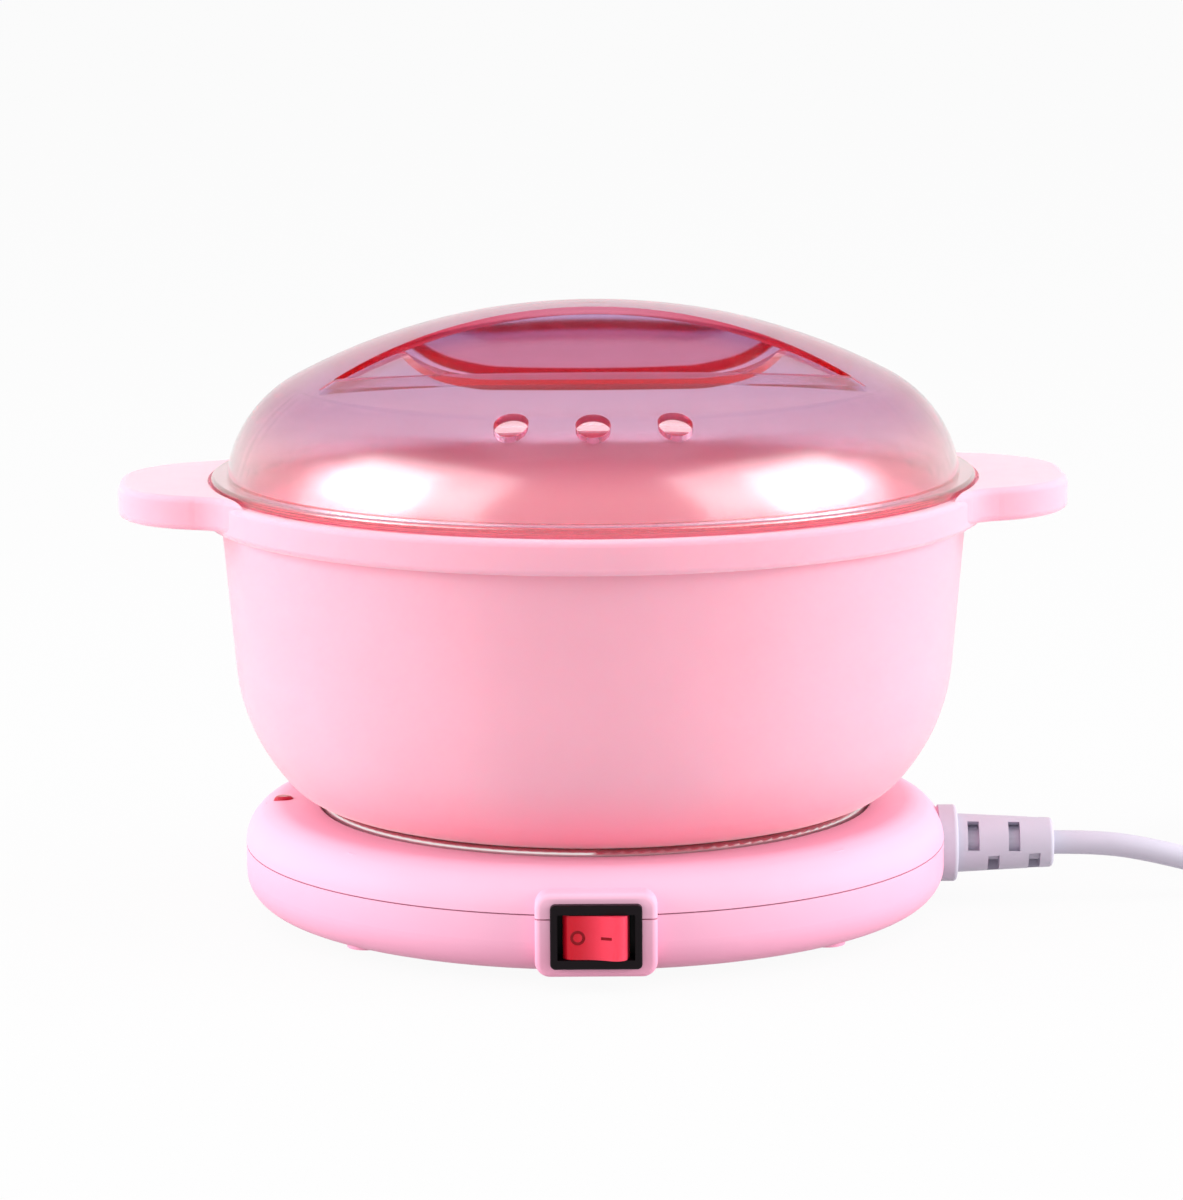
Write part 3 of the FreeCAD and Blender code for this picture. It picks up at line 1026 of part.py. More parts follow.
shared_box, shared_flat, shared_tools = switch_box(), landing(), housing_tools()
top_cover(shared_box, shared_flat, shared_tools)
bottom_cover(shared_box, shared_flat, shared_tools)
feet_and_screws()
heating_stack()
thermostat()
thermal_fuse()
switch_body()
rocker()
indicator()
terminal_block()
cord_clamp()
strain_relief()
cord()
leads()
pot()
lid()
doc.recompute()

faults = [o.Name for o in doc.Objects if "Invalid" in o.State or "Error" in o.State]
for name, obj in pieces.items():
    shape = obj.Shape
    if shape.isNull() or not shape.isValid() or not shape.Solids:
        faults.append(name)
if faults:
    raise RuntimeError("not built: " + ", ".join(faults))
os.makedirs("parts", exist_ok=True)
for name, obj in pieces.items():
    obj.Shape.exportStep("parts/%s.step" % name)
    box = obj.Shape.BoundBox
    print("%s: %d solid(s), %.0f mm3" % (name, len(obj.Shape.Solids), obj.Shape.Volume))
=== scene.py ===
"""Looks of a wax warmer: a heated base with a switch, a soft pot with ear handles and a see-through lid."""

import math

import bmesh
import bpy
from bpy.props import FloatProperty, FloatVectorProperty, IntProperty, PointerProperty
from mathutils import Matrix, Quaternion, Vector


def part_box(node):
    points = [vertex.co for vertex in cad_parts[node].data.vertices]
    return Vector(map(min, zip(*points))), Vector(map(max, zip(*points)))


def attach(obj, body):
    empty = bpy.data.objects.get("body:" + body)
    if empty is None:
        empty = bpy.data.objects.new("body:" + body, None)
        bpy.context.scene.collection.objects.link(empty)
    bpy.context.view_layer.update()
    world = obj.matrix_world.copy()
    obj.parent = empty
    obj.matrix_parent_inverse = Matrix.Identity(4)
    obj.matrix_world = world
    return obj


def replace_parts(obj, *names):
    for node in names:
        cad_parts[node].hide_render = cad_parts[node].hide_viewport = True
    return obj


bl_info = {
    "name": "Wax warmer",
    "version": (1, 0, 0),
    "blender": (4, 5, 0),
    "location": "3D View > Sidebar > Warmer",
    "description": "Finishes a wax warmer's solids, lays its cord and sets the studio",
    "category": "Object",
}

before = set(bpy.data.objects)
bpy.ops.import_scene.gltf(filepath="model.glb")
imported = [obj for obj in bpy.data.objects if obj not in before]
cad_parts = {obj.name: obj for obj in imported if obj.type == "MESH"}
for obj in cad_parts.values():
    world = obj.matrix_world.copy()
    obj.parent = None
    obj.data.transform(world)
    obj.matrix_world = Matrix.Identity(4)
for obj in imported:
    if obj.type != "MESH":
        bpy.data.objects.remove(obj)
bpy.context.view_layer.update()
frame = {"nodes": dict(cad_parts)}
NODES = frame["nodes"]
ACROSS, UPRIGHT, LEVEL = (1.0, 0.0, 0.0), (0.0, 0.0, 1.0), (1.0, 1.0, 0.0)


# Settings

def colour(name, words, default):
    """Setting for a colour as it is seen on a screen."""
    return FloatVectorProperty(name=name, description=words, default=default, size=3, min=0.0, max=1.0,
                               subtype="COLOR_GAMMA")


def length(name, words, default):
    """Setting for a length in metres."""
    return FloatProperty(name=name, description=words, default=default, unit="LENGTH", subtype="DISTANCE")


def power(name, words, default):
    """Setting for a lamp's power in watts."""
    return FloatProperty(name=name, description=words, default=default, unit="POWER")


class WarmerColours(bpy.types.PropertyGroup):
    base: colour("Base", "Moulded covers of the base", (0.955, 0.735, 0.830))
    # Painted shade: the base is drawn a darker, deeper pink near the table
    heel_shade: colour("Base's heel", "Deeper pink of the base near the table", (0.945, 0.655, 0.765))
    rubber: colour("Feet", "Rubber feet under the base", (0.80, 0.72, 0.77))
    plate: colour("Heating plate", "Turned aluminium", (0.930, 0.920, 0.910))
    gasket: colour("Plate's gasket", "Silicone round the heating plate", (0.52, 0.22, 0.28))
    pot: colour("Pot", "Soft skin of the pot", (0.945, 0.690, 0.762))
    # Painted light: pink light bounced between the heating plate and the pot, drawn as a warmer pink low on the
    # pot
    foot_bounce: colour("Pot's foot", "Warmer pink of the pot's skin next to the heating plate", (0.965, 0.585, 0.655))
    # Painted light: the reddish light that comes in through the lid, drawn as a brighter, redder pink inside the
    # bowl
    bowl: colour("Bowl", "Deeper pink of the bowl's inside", (1.000, 0.695, 0.738))
    lid: colour("Lid", "Tint that the lid's plastic gives to light passing through it", (0.995, 0.424, 0.560))
    # Painted shade and reflection: the upper dome is drawn a darker lilac than the clear skirt, and the grip and
    # its scoops a lighter pink in place of it
    skirt: colour("Lid's skirt", "Clear pink of the lid's lower edge", (0.990, 0.980, 0.995))
    grip: colour("Lid's grip", "Brighter pink of the grip bar and its scoops", (0.945, 0.890, 0.940))
    dome: colour("Lid's dome", "Smoky lilac of the lid's upper dome", (0.860, 0.832, 0.928))
    # Painted light and shade: the raised end is drawn a brighter red, the end pushed in a darker red
    rocker: colour("Rocker", "Red of the rocker's end that stands out", (1.000, 0.275, 0.375))
    pressed_shade: colour("Rocker's pressed end", "Deeper red of the rocker's other end", (0.800, 0.060, 0.150))
    mark: colour("Marks", "Marks printed on the rocker", (0.560, 0.020, 0.090))
    frame: colour("Switch frame", "Black of the switch", (0.050, 0.015, 0.035))
    lens: colour("Indicator", "Red of the indicator lens", (0.860, 0.120, 0.270))
    lamp: colour("Indicator lamp", "Glass of the lamp behind the lens", (0.96, 0.86, 0.78))
    cord: colour("Cord", "Sheath of the cord and its strain relief", (0.795, 0.780, 0.838))
    tie: colour("Coil's tie", "Band that holds the coiled cord", (0.90, 0.90, 0.92))
    pins: colour("Plug's pins", "Plated brass of the pins", (0.86, 0.78, 0.60))
    steel: colour("Steel", "Screws, clamp, bracket and clip inside the base", (0.74, 0.74, 0.76))
    brass: colour("Brass", "Terminals and the switch's contact arm", (0.80, 0.66, 0.38))
    element: colour("Heating element", "Baked face of the heating element", (0.80, 0.76, 0.68))
    pad: colour("Insulation pad", "Pressed fibre of the pad", (0.88, 0.86, 0.82))
    thermostat: colour("Thermostat", "Dark can of the thermostat", (0.12, 0.10, 0.09))
    fuse: colour("Thermal fuse", "Metal case of the fuse", (0.76, 0.76, 0.74))
    nylon: colour("Nylon", "Terminal block and cord clamp", (0.92, 0.91, 0.88))
    brown: colour("Live leads", "Brown sleeve of the live side", (0.46, 0.27, 0.16))
    blue: colour("Neutral leads", "Blue sleeve of the neutral side", (0.20, 0.36, 0.66))


class WarmerCord(bpy.types.PropertyGroup):
    diameter: length("Diameter", "Thickness of the mains cord", 0.0058)
    coil_radius: length("Coil radius", "Radius of the first half turn of the coil", 0.041)
    pitch: length("Pitch", "Distance between neighbouring turns and layers", 0.0064)
    half_turns: IntProperty(name="Half turns", description="Half turns of the lower layer", default=5, min=1)


class WarmerStudio(bpy.types.PropertyGroup):
    aside: length("Camera offset", "Sideways place of the camera and of the point it looks at", -0.0006)
    distance: length("Camera distance", "From the pot's axis to the camera, along the table", 1.150)
    height: length("Camera height", "Height of the camera over the table", 0.2728)
    aim: length("Aim height", "Height of the point that the camera looks at", 0.0748)
    lens: FloatProperty(name="Lens", description="Focal length", default=143.8, unit="CAMERA")
    roll: FloatProperty(name="Roll", description="Turn of the camera about its own line of sight",
                        default=math.radians(-0.35), subtype="ANGLE")
    fill: FloatProperty(name="Fill light", description="Strength of the even light from all round", default=0.62)
    side: power("Side lights", "Power of the soft box on each side", 30.5)
    top: power("Top light", "Power of the soft box overhead", 5.5)
    shine: power("Shine", "Power of the wide boxes that only show in the lid's gloss", 6.3)
    glint: power("Glint", "Power of the narrow boxes that only show in the lid's gloss", 4.1)


def warmer_colour(name):
    """A colour setting in the linear values that shaders take."""
    seen = getattr(bpy.context.scene.warmer_colours, name)
    return tuple(c / 12.92 if c <= 0.04045 else ((c + 0.055) / 1.055) ** 2.4 for c in seen) + (1.0,)


# Materials

def join(source, target):
    """Feed an input from a socket, or set it to a constant."""
    if isinstance(source, bpy.types.NodeSocket):
        target.id_data.links.new(source, target)
    else:
        target.default_value = source


def add_node(tree, kind, *sources, operation=None, **inputs):
    """A new node with inputs fed in their order, or by their names with _ for a space."""
    made = tree.nodes.new(kind)
    if operation is not None:
        made.operation = operation
    for place, source in enumerate(sources):
        join(source, made.inputs[place])
    for name, source in inputs.items():
        join(source, made.inputs[name.replace("_", " ")])
    return made


class Finish:
    """A material with one principled shader and the nodes that vary it."""

    USUAL = (0.3, 0.7)  # where most values of a noise lie

    def __init__(self, name):
        self.material = bpy.data.materials.new(name)
        self.material.use_nodes = True
        self.tree = self.material.node_tree
        self.shader = self.tree.nodes["Principled BSDF"]
        self.output = self.tree.nodes["Material Output"]
        self.coordinates = self.add("ShaderNodeTexCoord").outputs
        self.place = self.coordinates["Object"]

    def add(self, kind, *sources, **inputs):
        return add_node(self.tree, kind, *sources, **inputs)

    def set(self, **values):
        """Feed the shader's own inputs, named with _ for a space."""
        for name, value in values.items():
            join(value, self.shader.inputs[name.replace("_", " ")])
        return self

    def noise(self, scale, detail=3.0, stretch=None):
        """Noise in the object's own space, its scale per metre."""
        place = self.place
        if stretch is not None:
            place = self.add("ShaderNodeMapping", Vector=place, Scale=stretch).outputs["Vector"]
        made = self.add("ShaderNodeTexNoise", Vector=place, Scale=scale, Detail=detail, Roughness=0.55)
        return made.outputs["Fac"]

    def rings(self, scale):
        """Rings about the upright axis, as turning leaves them."""
        wave = self.add("ShaderNodeTexWave", Vector=self.place, Scale=scale, Distortion=0.4, Detail=3.0)
        wave.wave_type, wave.rings_direction = "RINGS", "Z"
        return wave.outputs["Fac"]

    def span(self, factor, start, stop, low=0.0, high=1.0):
        """A factor between start and stop, laid over low to high."""
        made = self.add("ShaderNodeMapRange", Value=factor, From_Min=start, From_Max=stop, To_Min=low, To_Max=high)
        return made.outputs["Result"]

    def vector(self, operation, *sources):
        """Vector maths on sockets and constants."""
        made = self.add("ShaderNodeVectorMath", *sources, operation=operation)
        return made.outputs["Value" if operation in ("DOT_PRODUCT", "LENGTH") else "Vector"]

    def along(self, axis=UPRIGHT):
        """Height over the table, or the place along another axis, in metres."""
        return self.vector("DOT_PRODUCT", self.place, axis)

    def reach(self):
        """Distance from the upright axis, in metres."""
        return self.vector("LENGTH", self.vector("MULTIPLY", self.place, LEVEL))

    def heights(self, *stops, axis=UPRIGHT):
        """Colours at heights over the table, or at places along another axis, eased from one to the next."""
        low, high = stops[0][0], stops[-1][0]
        ramp = self.add("ShaderNodeValToRGB", Fac=self.span(self.along(axis), low, high))
        ramp.color_ramp.interpolation = "EASE"
        elements = ramp.color_ramp.elements
        while len(elements) < len(stops):
            elements.new(0.5)
        for element, (place, seen) in zip(elements, stops):
            element.position, element.color = (place - low) / (high - low), seen
        return ramp.outputs["Color"]

    def blend(self, factor, first, second):
        """A colour that gives way to another as the factor goes from 0 to 1."""
        mix = self.add("ShaderNodeMix")
        mix.data_type = "RGBA"
        sockets = {socket.identifier: socket for socket in (*mix.inputs, *mix.outputs)}
        for name, source in (("Factor_Float", factor), ("A_Color", first), ("B_Color", second)):
            join(source, sockets[name])
        return sockets["Result_Color"]

    def tint(self, seen, scale=35.0, spread=0.03):
        """Base colour that wanders a little to both sides of the given one."""
        wander = self.span(self.noise(scale), *self.USUAL, 1 - spread, 1 + spread)
        plain = seen if isinstance(seen, bpy.types.NodeSocket) else seen[:3]
        scaled = self.add("ShaderNodeVectorMath", operation="SCALE", Vector=plain, Scale=wander)
        return self.set(Base_Color=scaled.outputs["Vector"])

    def rough(self, factor, low, high):
        """Roughness that follows a factor from low to high."""
        return self.set(Roughness=self.span(factor, *self.USUAL, low, high))

    def bump(self, factor, strength, depth):
        """Fine relief that follows a factor, its depth in metres."""
        made = self.add("ShaderNodeBump", Strength=strength, Distance=depth, Height=factor)
        return self.set(Normal=made.outputs["Normal"])


def moulded(name, low, high, grain=900.0, depth=0.00002):
    """Injection-moulded plastic, its roughness from low to high, with fine spark-eroded grain and no tint yet."""
    made = Finish(name)
    made.rough(made.noise(140.0), low, high)
    return made.bump(made.noise(grain, detail=4.0), strength=0.25, depth=depth)


def metal(name, seen):
    """Bare metal, its colour a little uneven."""
    return Finish(name).set(Metallic=1.0).tint(seen, scale=60.0, spread=0.05)


def rolled(name, seen, low, high, stretch=None):
    """Bare metal, its roughness from low to high, with fine marks from rolling or drawing."""
    made = metal(name, seen)
    marks = made.noise(500.0, detail=5.0, stretch=stretch)
    return made.rough(marks, low, high).bump(marks, strength=0.2, depth=0.00001)


def dress(finish, *names):
    """Give CAD nodes a finish through their own material slots."""
    for name in names:
        obj = NODES[name]
        if not obj.material_slots:
            obj.data.materials.append(None)
        for slot in obj.material_slots:
            slot.link = "OBJECT"
            slot.material = finish.material


def add_piece(name, data, body, finish):
    """Link a new piece that rides on a body and takes the finish's material."""
    obj = bpy.data.objects.new(name, data)
    bpy.context.scene.collection.objects.link(obj)
    data.materials.append(finish.material)
    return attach(obj, body)


# Operators

class WARMER_OT_camera(bpy.types.Operator):
    """Set the camera at the photograph's viewing angle"""
    bl_idname = "warmer.camera"
    bl_label = "Camera"

    SENSOR = 36.0  # millimetres
    FARTHEST = 50.0

    def execute(self, context):
        studio = context.scene.warmer_studio
        data = bpy.data.cameras.new("camera")
        data.sensor_width = self.SENSOR
        data.lens = studio.lens
        data.clip_end = self.FARTHEST
        camera = bpy.data.objects.new("camera", data)
        context.scene.collection.objects.link(camera)
        camera.location = place = Vector((studio.aside, -studio.distance, studio.height))
        aim = Vector((studio.aside, 0.0, studio.aim))
        level = (aim - place).to_track_quat("-Z", "Y")
        camera.rotation_mode = "QUATERNION"
        camera.rotation_quaternion = level @ Quaternion(UPRIGHT, studio.roll)
        context.scene.camera = camera
        return {"FINISHED"}


class WARMER_OT_cord(bpy.types.Operator):
    """Lay the mains cord from the strain relief to its coil and plug"""
    bl_idname = "warmer.cord"
    bl_label = "Mains cord"

    LEAD = ((0.1122, 0.0, 0.0138), (0.1240, 0.0, 0.0138), (0.1367, 0.0005, 0.0116), (0.1517, 0.0020, 0.0074),
            (0.1677, 0.0040, 0.0044), (0.1820, 0.0060, 0.0037), (0.1902, 0.0060, 0.0037))
    TAIL = ((0.2018, 0.0124, 0.0101), (0.2218, 0.0124, 0.0101), (0.2458, 0.0100, 0.0068), (0.2658, 0.0100, 0.0068))
    COIL = (0.196, 0.047, 0.0037)  # the coil's centre, at the height of its lower layer
    STEPS = 8  # points of a half turn

    def turns(self, cord):
        """Points of the coil, half turn by half turn, spiralling in, up and out."""
        centre_x, centre_y, low = self.COIL
        inward = [cord.coil_radius - k * cord.pitch / 2 for k in range(cord.half_turns)]
        climb = cord.coil_radius - cord.half_turns * cord.pitch / 2
        outward = [climb + k * cord.pitch / 2 for k in range(1, cord.half_turns)]
        y = centre_y - cord.coil_radius
        spread = 1 / math.cos(math.pi / (2 * self.STEPS))
        for k, radius in enumerate(inward + [climb] + outward):
            way = 1 if k % 2 == 0 else -1
            middle = y + radius * way
            for step in range(self.STEPS):
                angle = math.pi * (step + 0.5) / self.STEPS
                rise = 0.0 if k < cord.half_turns else 1.0
                if k == cord.half_turns:
                    rise = (1 - math.cos(angle)) / 2
                reach = radius * spread
                yield (centre_x + way * reach * math.sin(angle), middle - way * reach * math.cos(angle),
                       low + rise * cord.pitch)
            y = middle + radius * way

    def execute(self, context):
        cord = context.scene.warmer_cord
        route = [*self.LEAD, *self.turns(cord), *self.TAIL]
        curve = bpy.data.curves.new("mains_cord", "CURVE")
        curve.dimensions = "3D"
        curve.bevel_depth = cord.diameter / 2
        curve.bevel_resolution = 5
        curve.resolution_u = 6
        curve.use_fill_caps = True
        spline = curve.splines.new("NURBS")
        spline.points.add(len(route) - 1)
        for point, place in zip(spline.points, route):
            point.co = (*place, 1.0)
        spline.order_u = 3
        spline.use_endpoint_u = True
        finish = moulded("cord_sheath", 0.42, 0.52, grain=1400.0, depth=0.00003).tint(warmer_colour("cord"))
        obj = add_piece("mains_cord", curve, "base", finish)
        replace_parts(obj, "cord_lead", "cord_coil", "cord_tail")
        dress(finish, "strain_relief", "cord_inner", "mains_plug")
        dress(moulded("tie_band", 0.30, 0.40).tint(warmer_colour("tie")), "coil_tie")
        dress(rolled("pin_brass", warmer_colour("pins"), 0.18, 0.30, stretch=(1.0, 8.0, 8.0)), "plug_pins")
        return {"FINISHED"}


class WARMER_OT_base(bpy.types.Operator):
    """Finish the base's covers, feet and heating plate"""
    bl_idname = "warmer.base"
    bl_label = "Base"

    HEEL, SHOULDER = 0.002, 0.024  # heights between which the painted shade near the table fades into the base's pink
    TURNED = 150.0  # scale of the rings on the heating plate

    def execute(self, context):
        cover = moulded("base_plastic", 0.42, 0.50, depth=0.00001).set(Specular_IOR_Level=0.35)
        # Painted shade near the table, fading up into the base's own pink
        rise = cover.heights((self.HEEL, warmer_colour("heel_shade")), (self.SHOULDER, warmer_colour("base")))
        dress(cover.tint(rise, spread=0.02), "base_top_cover", "base_bottom_cover")
        rubber = moulded("foot_rubber", 0.60, 0.75, grain=500.0, depth=0.00005).tint(warmer_colour("rubber"))
        dress(rubber, "rubber_feet")
        plate = metal("plate_metal", warmer_colour("plate"))
        turned = plate.rings(self.TURNED)
        dress(plate.rough(turned, 0.30, 0.40).bump(turned, strength=0.3, depth=0.00002), "heating_plate")
        dress(moulded("gasket_silicone", 0.55, 0.70).tint(warmer_colour("gasket")), "plate_gasket")
        return {"FINISHED"}


class WARMER_OT_pot(bpy.types.Operator):
    """Finish the pot with its soft satin skin, with painted pink bounce light low on its outside and painted
    reddish light inside the bowl
    """
    bl_idname = "warmer.pot"
    bl_label = "Pot"

    FOOT = 0.022  # height over which the painted pink bounce light low on the pot fades
    FLOOR, WALL = 0.080, 0.088  # radii of the bowl's floor and of its wall
    LEAN = -0.012  # turns the direction of comparison down over the floor, which faces up
    OUT, IN = -0.001, -0.008  # that comparison on the pot's outside and on its inside

    # Mask for the painted reddish light inside the bowl
    def inside(self, skin):
        """1 on the bowl's inside, 0 on its outside, its rim and its ears."""
        spoke = skin.vector("MULTIPLY", skin.place, LEVEL)
        lean = skin.span(skin.vector("LENGTH", spoke), self.FLOOR, self.WALL, self.LEAN, 0.0)
        down = skin.add("ShaderNodeCombineXYZ", Z=lean).outputs["Vector"]
        facing = skin.vector("DOT_PRODUCT", skin.vector("ADD", spoke, down), skin.coordinates["Normal"])
        return skin.span(facing, self.OUT, self.IN)

    def execute(self, context):
        skin = moulded("pot_silicone", 0.38, 0.47, grain=1100.0, depth=0.00003)
        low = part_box("pot")[0][2]
        # Painted pink bounce light low on the pot, fading up into the pot's own pink
        outside = skin.heights((low, warmer_colour("foot_bounce")), (low + self.FOOT, warmer_colour("pot")))
        # Painted reddish light from the lid on the bowl's inside
        skin.tint(skin.blend(self.inside(skin), outside, warmer_colour("bowl")), spread=0.02)
        skin.set(Specular_IOR_Level=0.3, Sheen_Weight=0.45, Sheen_Roughness=0.4,
                 Subsurface_Weight=0.5, Subsurface_Radius=(1.0, 0.3, 0.4), Subsurface_Scale=0.006)
        dress(skin, "pot")
        return {"FINISHED"}


class WARMER_OT_lid(bpy.types.Operator):
    """Finish the see-through lid, whose edges deepen to red"""
    bl_idname = "warmer.lid"
    bl_label = "Lid"

    SEAT, CLEAR = 0.1043, 0.0001  # height of the seat on the pot's rim, and how far it is raised
    DULL, GLOSSY = 0.127, 0.113  # heights between which the wall's gloss sets in
    EDGE, SKIRT, DOME, TOP = 0.106, 0.112, 0.124, 0.148  # heights of the wall's tint, from the clear skirt up to the dome's painted lilac shade and reflection
    BOW = 3.33  # how far the dome falls with the squared radius, per metre
    CROWN, SUNK = 0.1440, 0.1405  # height plus that fall, on the dome and down in the scoops
    SCOOP, BEYOND = 0.062, 0.068  # radii between which the scoops' colour ends
    DEPTH = 80.0  # density of the tint in the plastic

    def shell(self):
        """The lid's solid, its seat a hair above the rim so that light passes between them."""
        mesh = NODES["lid"].data.copy()
        mesh.materials.clear()
        for vertex in mesh.vertices:
            if abs(vertex.co.z - self.SEAT) < self.CLEAR / 2:
                vertex.co.z += self.CLEAR
        return mesh

    def colours(self, clear):
        """Clear skirt, painted lilac shade and reflection on the dome, and a lighter pink in the scoops in place
        of it.
        """
        skirt, dome = warmer_colour("skirt"), warmer_colour("dome")
        # Painted lilac shade and reflection rising over the upper dome
        rise = clear.heights((self.EDGE, skirt), (self.SKIRT, skirt), (self.DOME, dome), (self.TOP, dome))
        bowed = clear.vector("MULTIPLY", clear.place, (self.BOW, self.BOW, 0.0))
        crown = clear.vector("DOT_PRODUCT", clear.vector("ADD", bowed, UPRIGHT), clear.place)
        sunk = clear.blend(clear.span(crown, self.CROWN, self.SUNK), rise, warmer_colour("grip"))
        return clear.blend(clear.span(clear.reach(), self.SCOOP, self.BEYOND), sunk, rise)

    def execute(self, context):
        clear = Finish("lid_clear").set(Transmission_Weight=1.0, IOR=1.24, Coat_Roughness=0.22, Coat_IOR=1.90)
        clear.set(Coat_Weight=clear.span(clear.along(), self.DULL, self.GLOSSY))
        clear.tint(self.colours(clear), scale=50.0, spread=0.01)
        clear.rough(clear.noise(90.0), 0.10, 0.14)
        clear.bump(clear.noise(60.0, detail=2.0), strength=0.02, depth=0.0002)
        depth = clear.add("ShaderNodeVolumeAbsorption", Color=warmer_colour("lid"), Density=self.DEPTH)
        join(depth.outputs["Volume"], clear.output.inputs["Volume"])
        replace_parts(add_piece("lid_shell", self.shell(), "lid", clear), "lid")
        return {"FINISHED"}


class WARMER_OT_switch(bpy.types.Operator):
    """Finish the rocker switch and print its marks"""
    bl_idname = "warmer.switch"
    bl_label = "Switch"

    PRESSED, RAISED = -0.006, 0.004  # places across between which the painted shade of the end pushed in gives way to painted light on the raised end
    PIVOT, FACE = Vector((0.0, -0.0878, 0.0126)), -0.00295  # the rocker's axis, and its face from there
    RING_OUT, RING_IN, STEPS = 0.0018, 0.0011, 32  # radii of the ring and its number of quads
    DASH_ACROSS, DASH_UP = 0.00125, 0.0003  # half the stroke's length and width
    THICK = 0.0001  # of the marks
    RING_PLACE, RING_TURN = -0.0042, 0.0  # place across, and turn of the face in degrees
    DASH_PLACE, DASH_TURN = 0.0036, -20.0

    def ring(self):
        """Quads of a flat ring, as corners across and up."""
        def corner(step, radius):
            angle = 2 * math.pi * step / self.STEPS
            return radius * math.cos(angle), radius * math.sin(angle)
        outer, inner = self.RING_OUT, self.RING_IN
        return [(corner(k, outer), corner(k + 1, outer), corner(k + 1, inner), corner(k, inner))
                for k in range(self.STEPS)]

    def dash(self):
        """The one quad of a short stroke."""
        across, up = self.DASH_ACROSS, self.DASH_UP
        return [((-across, -up), (across, -up), (across, up), (-across, up))]

    def slab(self, name, flat, place):
        """A thin closed slab behind the quads, its front at a place on the rocker's face."""
        shape = bmesh.new()
        for quad in flat:
            shape.faces.new([shape.verts.new((x, 0.0, z)) for x, z in quad])
        bmesh.ops.remove_doubles(shape, verts=shape.verts, dist=1e-6)
        made = bmesh.ops.extrude_face_region(shape, geom=shape.faces[:])
        behind = [part for part in made["geom"] if isinstance(part, bmesh.types.BMVert)]
        bmesh.ops.translate(shape, verts=behind, vec=(0.0, self.THICK, 0.0))
        bmesh.ops.translate(shape, verts=shape.verts, vec=place)
        bmesh.ops.recalc_face_normals(shape, faces=shape.faces)
        mesh = bpy.data.meshes.new(name)
        shape.to_mesh(mesh)
        shape.free()
        return mesh

    def execute(self, context):
        black = moulded("switch_black", 0.40, 0.50).tint(warmer_colour("frame"))
        dress(black.set(Specular_IOR_Level=0.15), "switch_body")
        red = moulded("rocker_red", 0.20, 0.28, depth=0.00001)
        # Painted shade on the end pushed in and painted light on the raised end, across the rocker
        ends = ((self.PRESSED, warmer_colour("pressed_shade")), (self.RAISED, warmer_colour("rocker")))
        red.tint(red.heights(*ends, axis=ACROSS), scale=60.0, spread=0.02)
        red.set(Subsurface_Weight=0.3, Subsurface_Radius=(1.0, 0.2, 0.2), Subsurface_Scale=0.002,
                Specular_IOR_Level=0.2, Coat_Weight=0.1, Coat_Roughness=0.1)
        dress(red, "rocker")
        ink = moulded("mark_red", 0.30, 0.40).tint(warmer_colour("mark")).set(Specular_IOR_Level=0.2)
        marks = (("mark_ring", self.ring(), self.RING_PLACE, self.RING_TURN),
                 ("mark_dash", self.dash(), self.DASH_PLACE, self.DASH_TURN))
        for name, flat, across, turn in marks:
            mesh = self.slab(name, flat, Vector((across, self.FACE, 0.0)))
            mesh.transform(Matrix.Translation(self.PIVOT) @ Matrix.Rotation(math.radians(turn), 4, "Z"))
            add_piece(name, mesh, "rocker", ink)
        return {"FINISHED"}


class WARMER_OT_indicator(bpy.types.Operator):
    """Finish the indicator lens and its lamp"""
    bl_idname = "warmer.indicator"
    bl_label = "Indicator"

    def execute(self, context):
        lens = moulded("lens_red", 0.08, 0.14).tint(warmer_colour("lens"))
        dress(lens.set(Transmission_Weight=0.35, IOR=1.49), "indicator_lens")
        glass = Finish("lamp_glass").set(Base_Color=warmer_colour("lamp"), Transmission_Weight=0.8, IOR=1.5)
        dress(glass.rough(glass.noise(300.0), 0.03, 0.08), "indicator_lamp")
        return {"FINISHED"}


class WARMER_OT_inside(bpy.types.Operator):
    """Finish the heater, thermostat, leads and fixings inside the base"""
    bl_idname = "warmer.inside"
    bl_label = "Inside"

    def execute(self, context):
        steel = rolled("plated_steel", warmer_colour("steel"), 0.25, 0.40, stretch=(1.0, 12.0, 1.0))
        dress(steel, "housing_screws", "clamp_screws", "thermostat_screws", "terminal_screws", "cord_clamp_screws",
              "element_clamp", "thermostat_bracket", "fuse_clip")
        brass = rolled("terminal_brass", warmer_colour("brass"), 0.22, 0.36, stretch=(1.0, 1.0, 10.0))
        dress(brass, "element_terminals", "thermostat_terminals", "switch_terminals", "contact_arm")
        face = moulded("element_face", 0.55, 0.75, grain=300.0, depth=0.0001)
        dress(face.tint(warmer_colour("element"), spread=0.08), "heating_element")
        fibre = moulded("pad_fibre", 0.85, 0.98, grain=250.0, depth=0.0003)
        dress(fibre.tint(warmer_colour("pad"), spread=0.06), "insulation_pad")
        dress(moulded("thermostat_can", 0.40, 0.55).tint(warmer_colour("thermostat")), "thermostat")
        dress(rolled("fuse_case", warmer_colour("fuse"), 0.25, 0.40), "thermal_fuse")
        dress(moulded("block_nylon", 0.40, 0.50).tint(warmer_colour("nylon")), "terminal_block", "cord_clamp")
        brown = moulded("lead_brown", 0.35, 0.50).tint(warmer_colour("brown"))
        dress(brown, "live_lead", "switched_lead", "fuse_lead", "heater_lead", "lamp_lead_2")
        blue = moulded("lead_blue", 0.35, 0.50).tint(warmer_colour("blue"))
        dress(blue, "neutral_lead", "supply_neutral_lead", "lamp_lead_1")
        return {"FINISHED"}


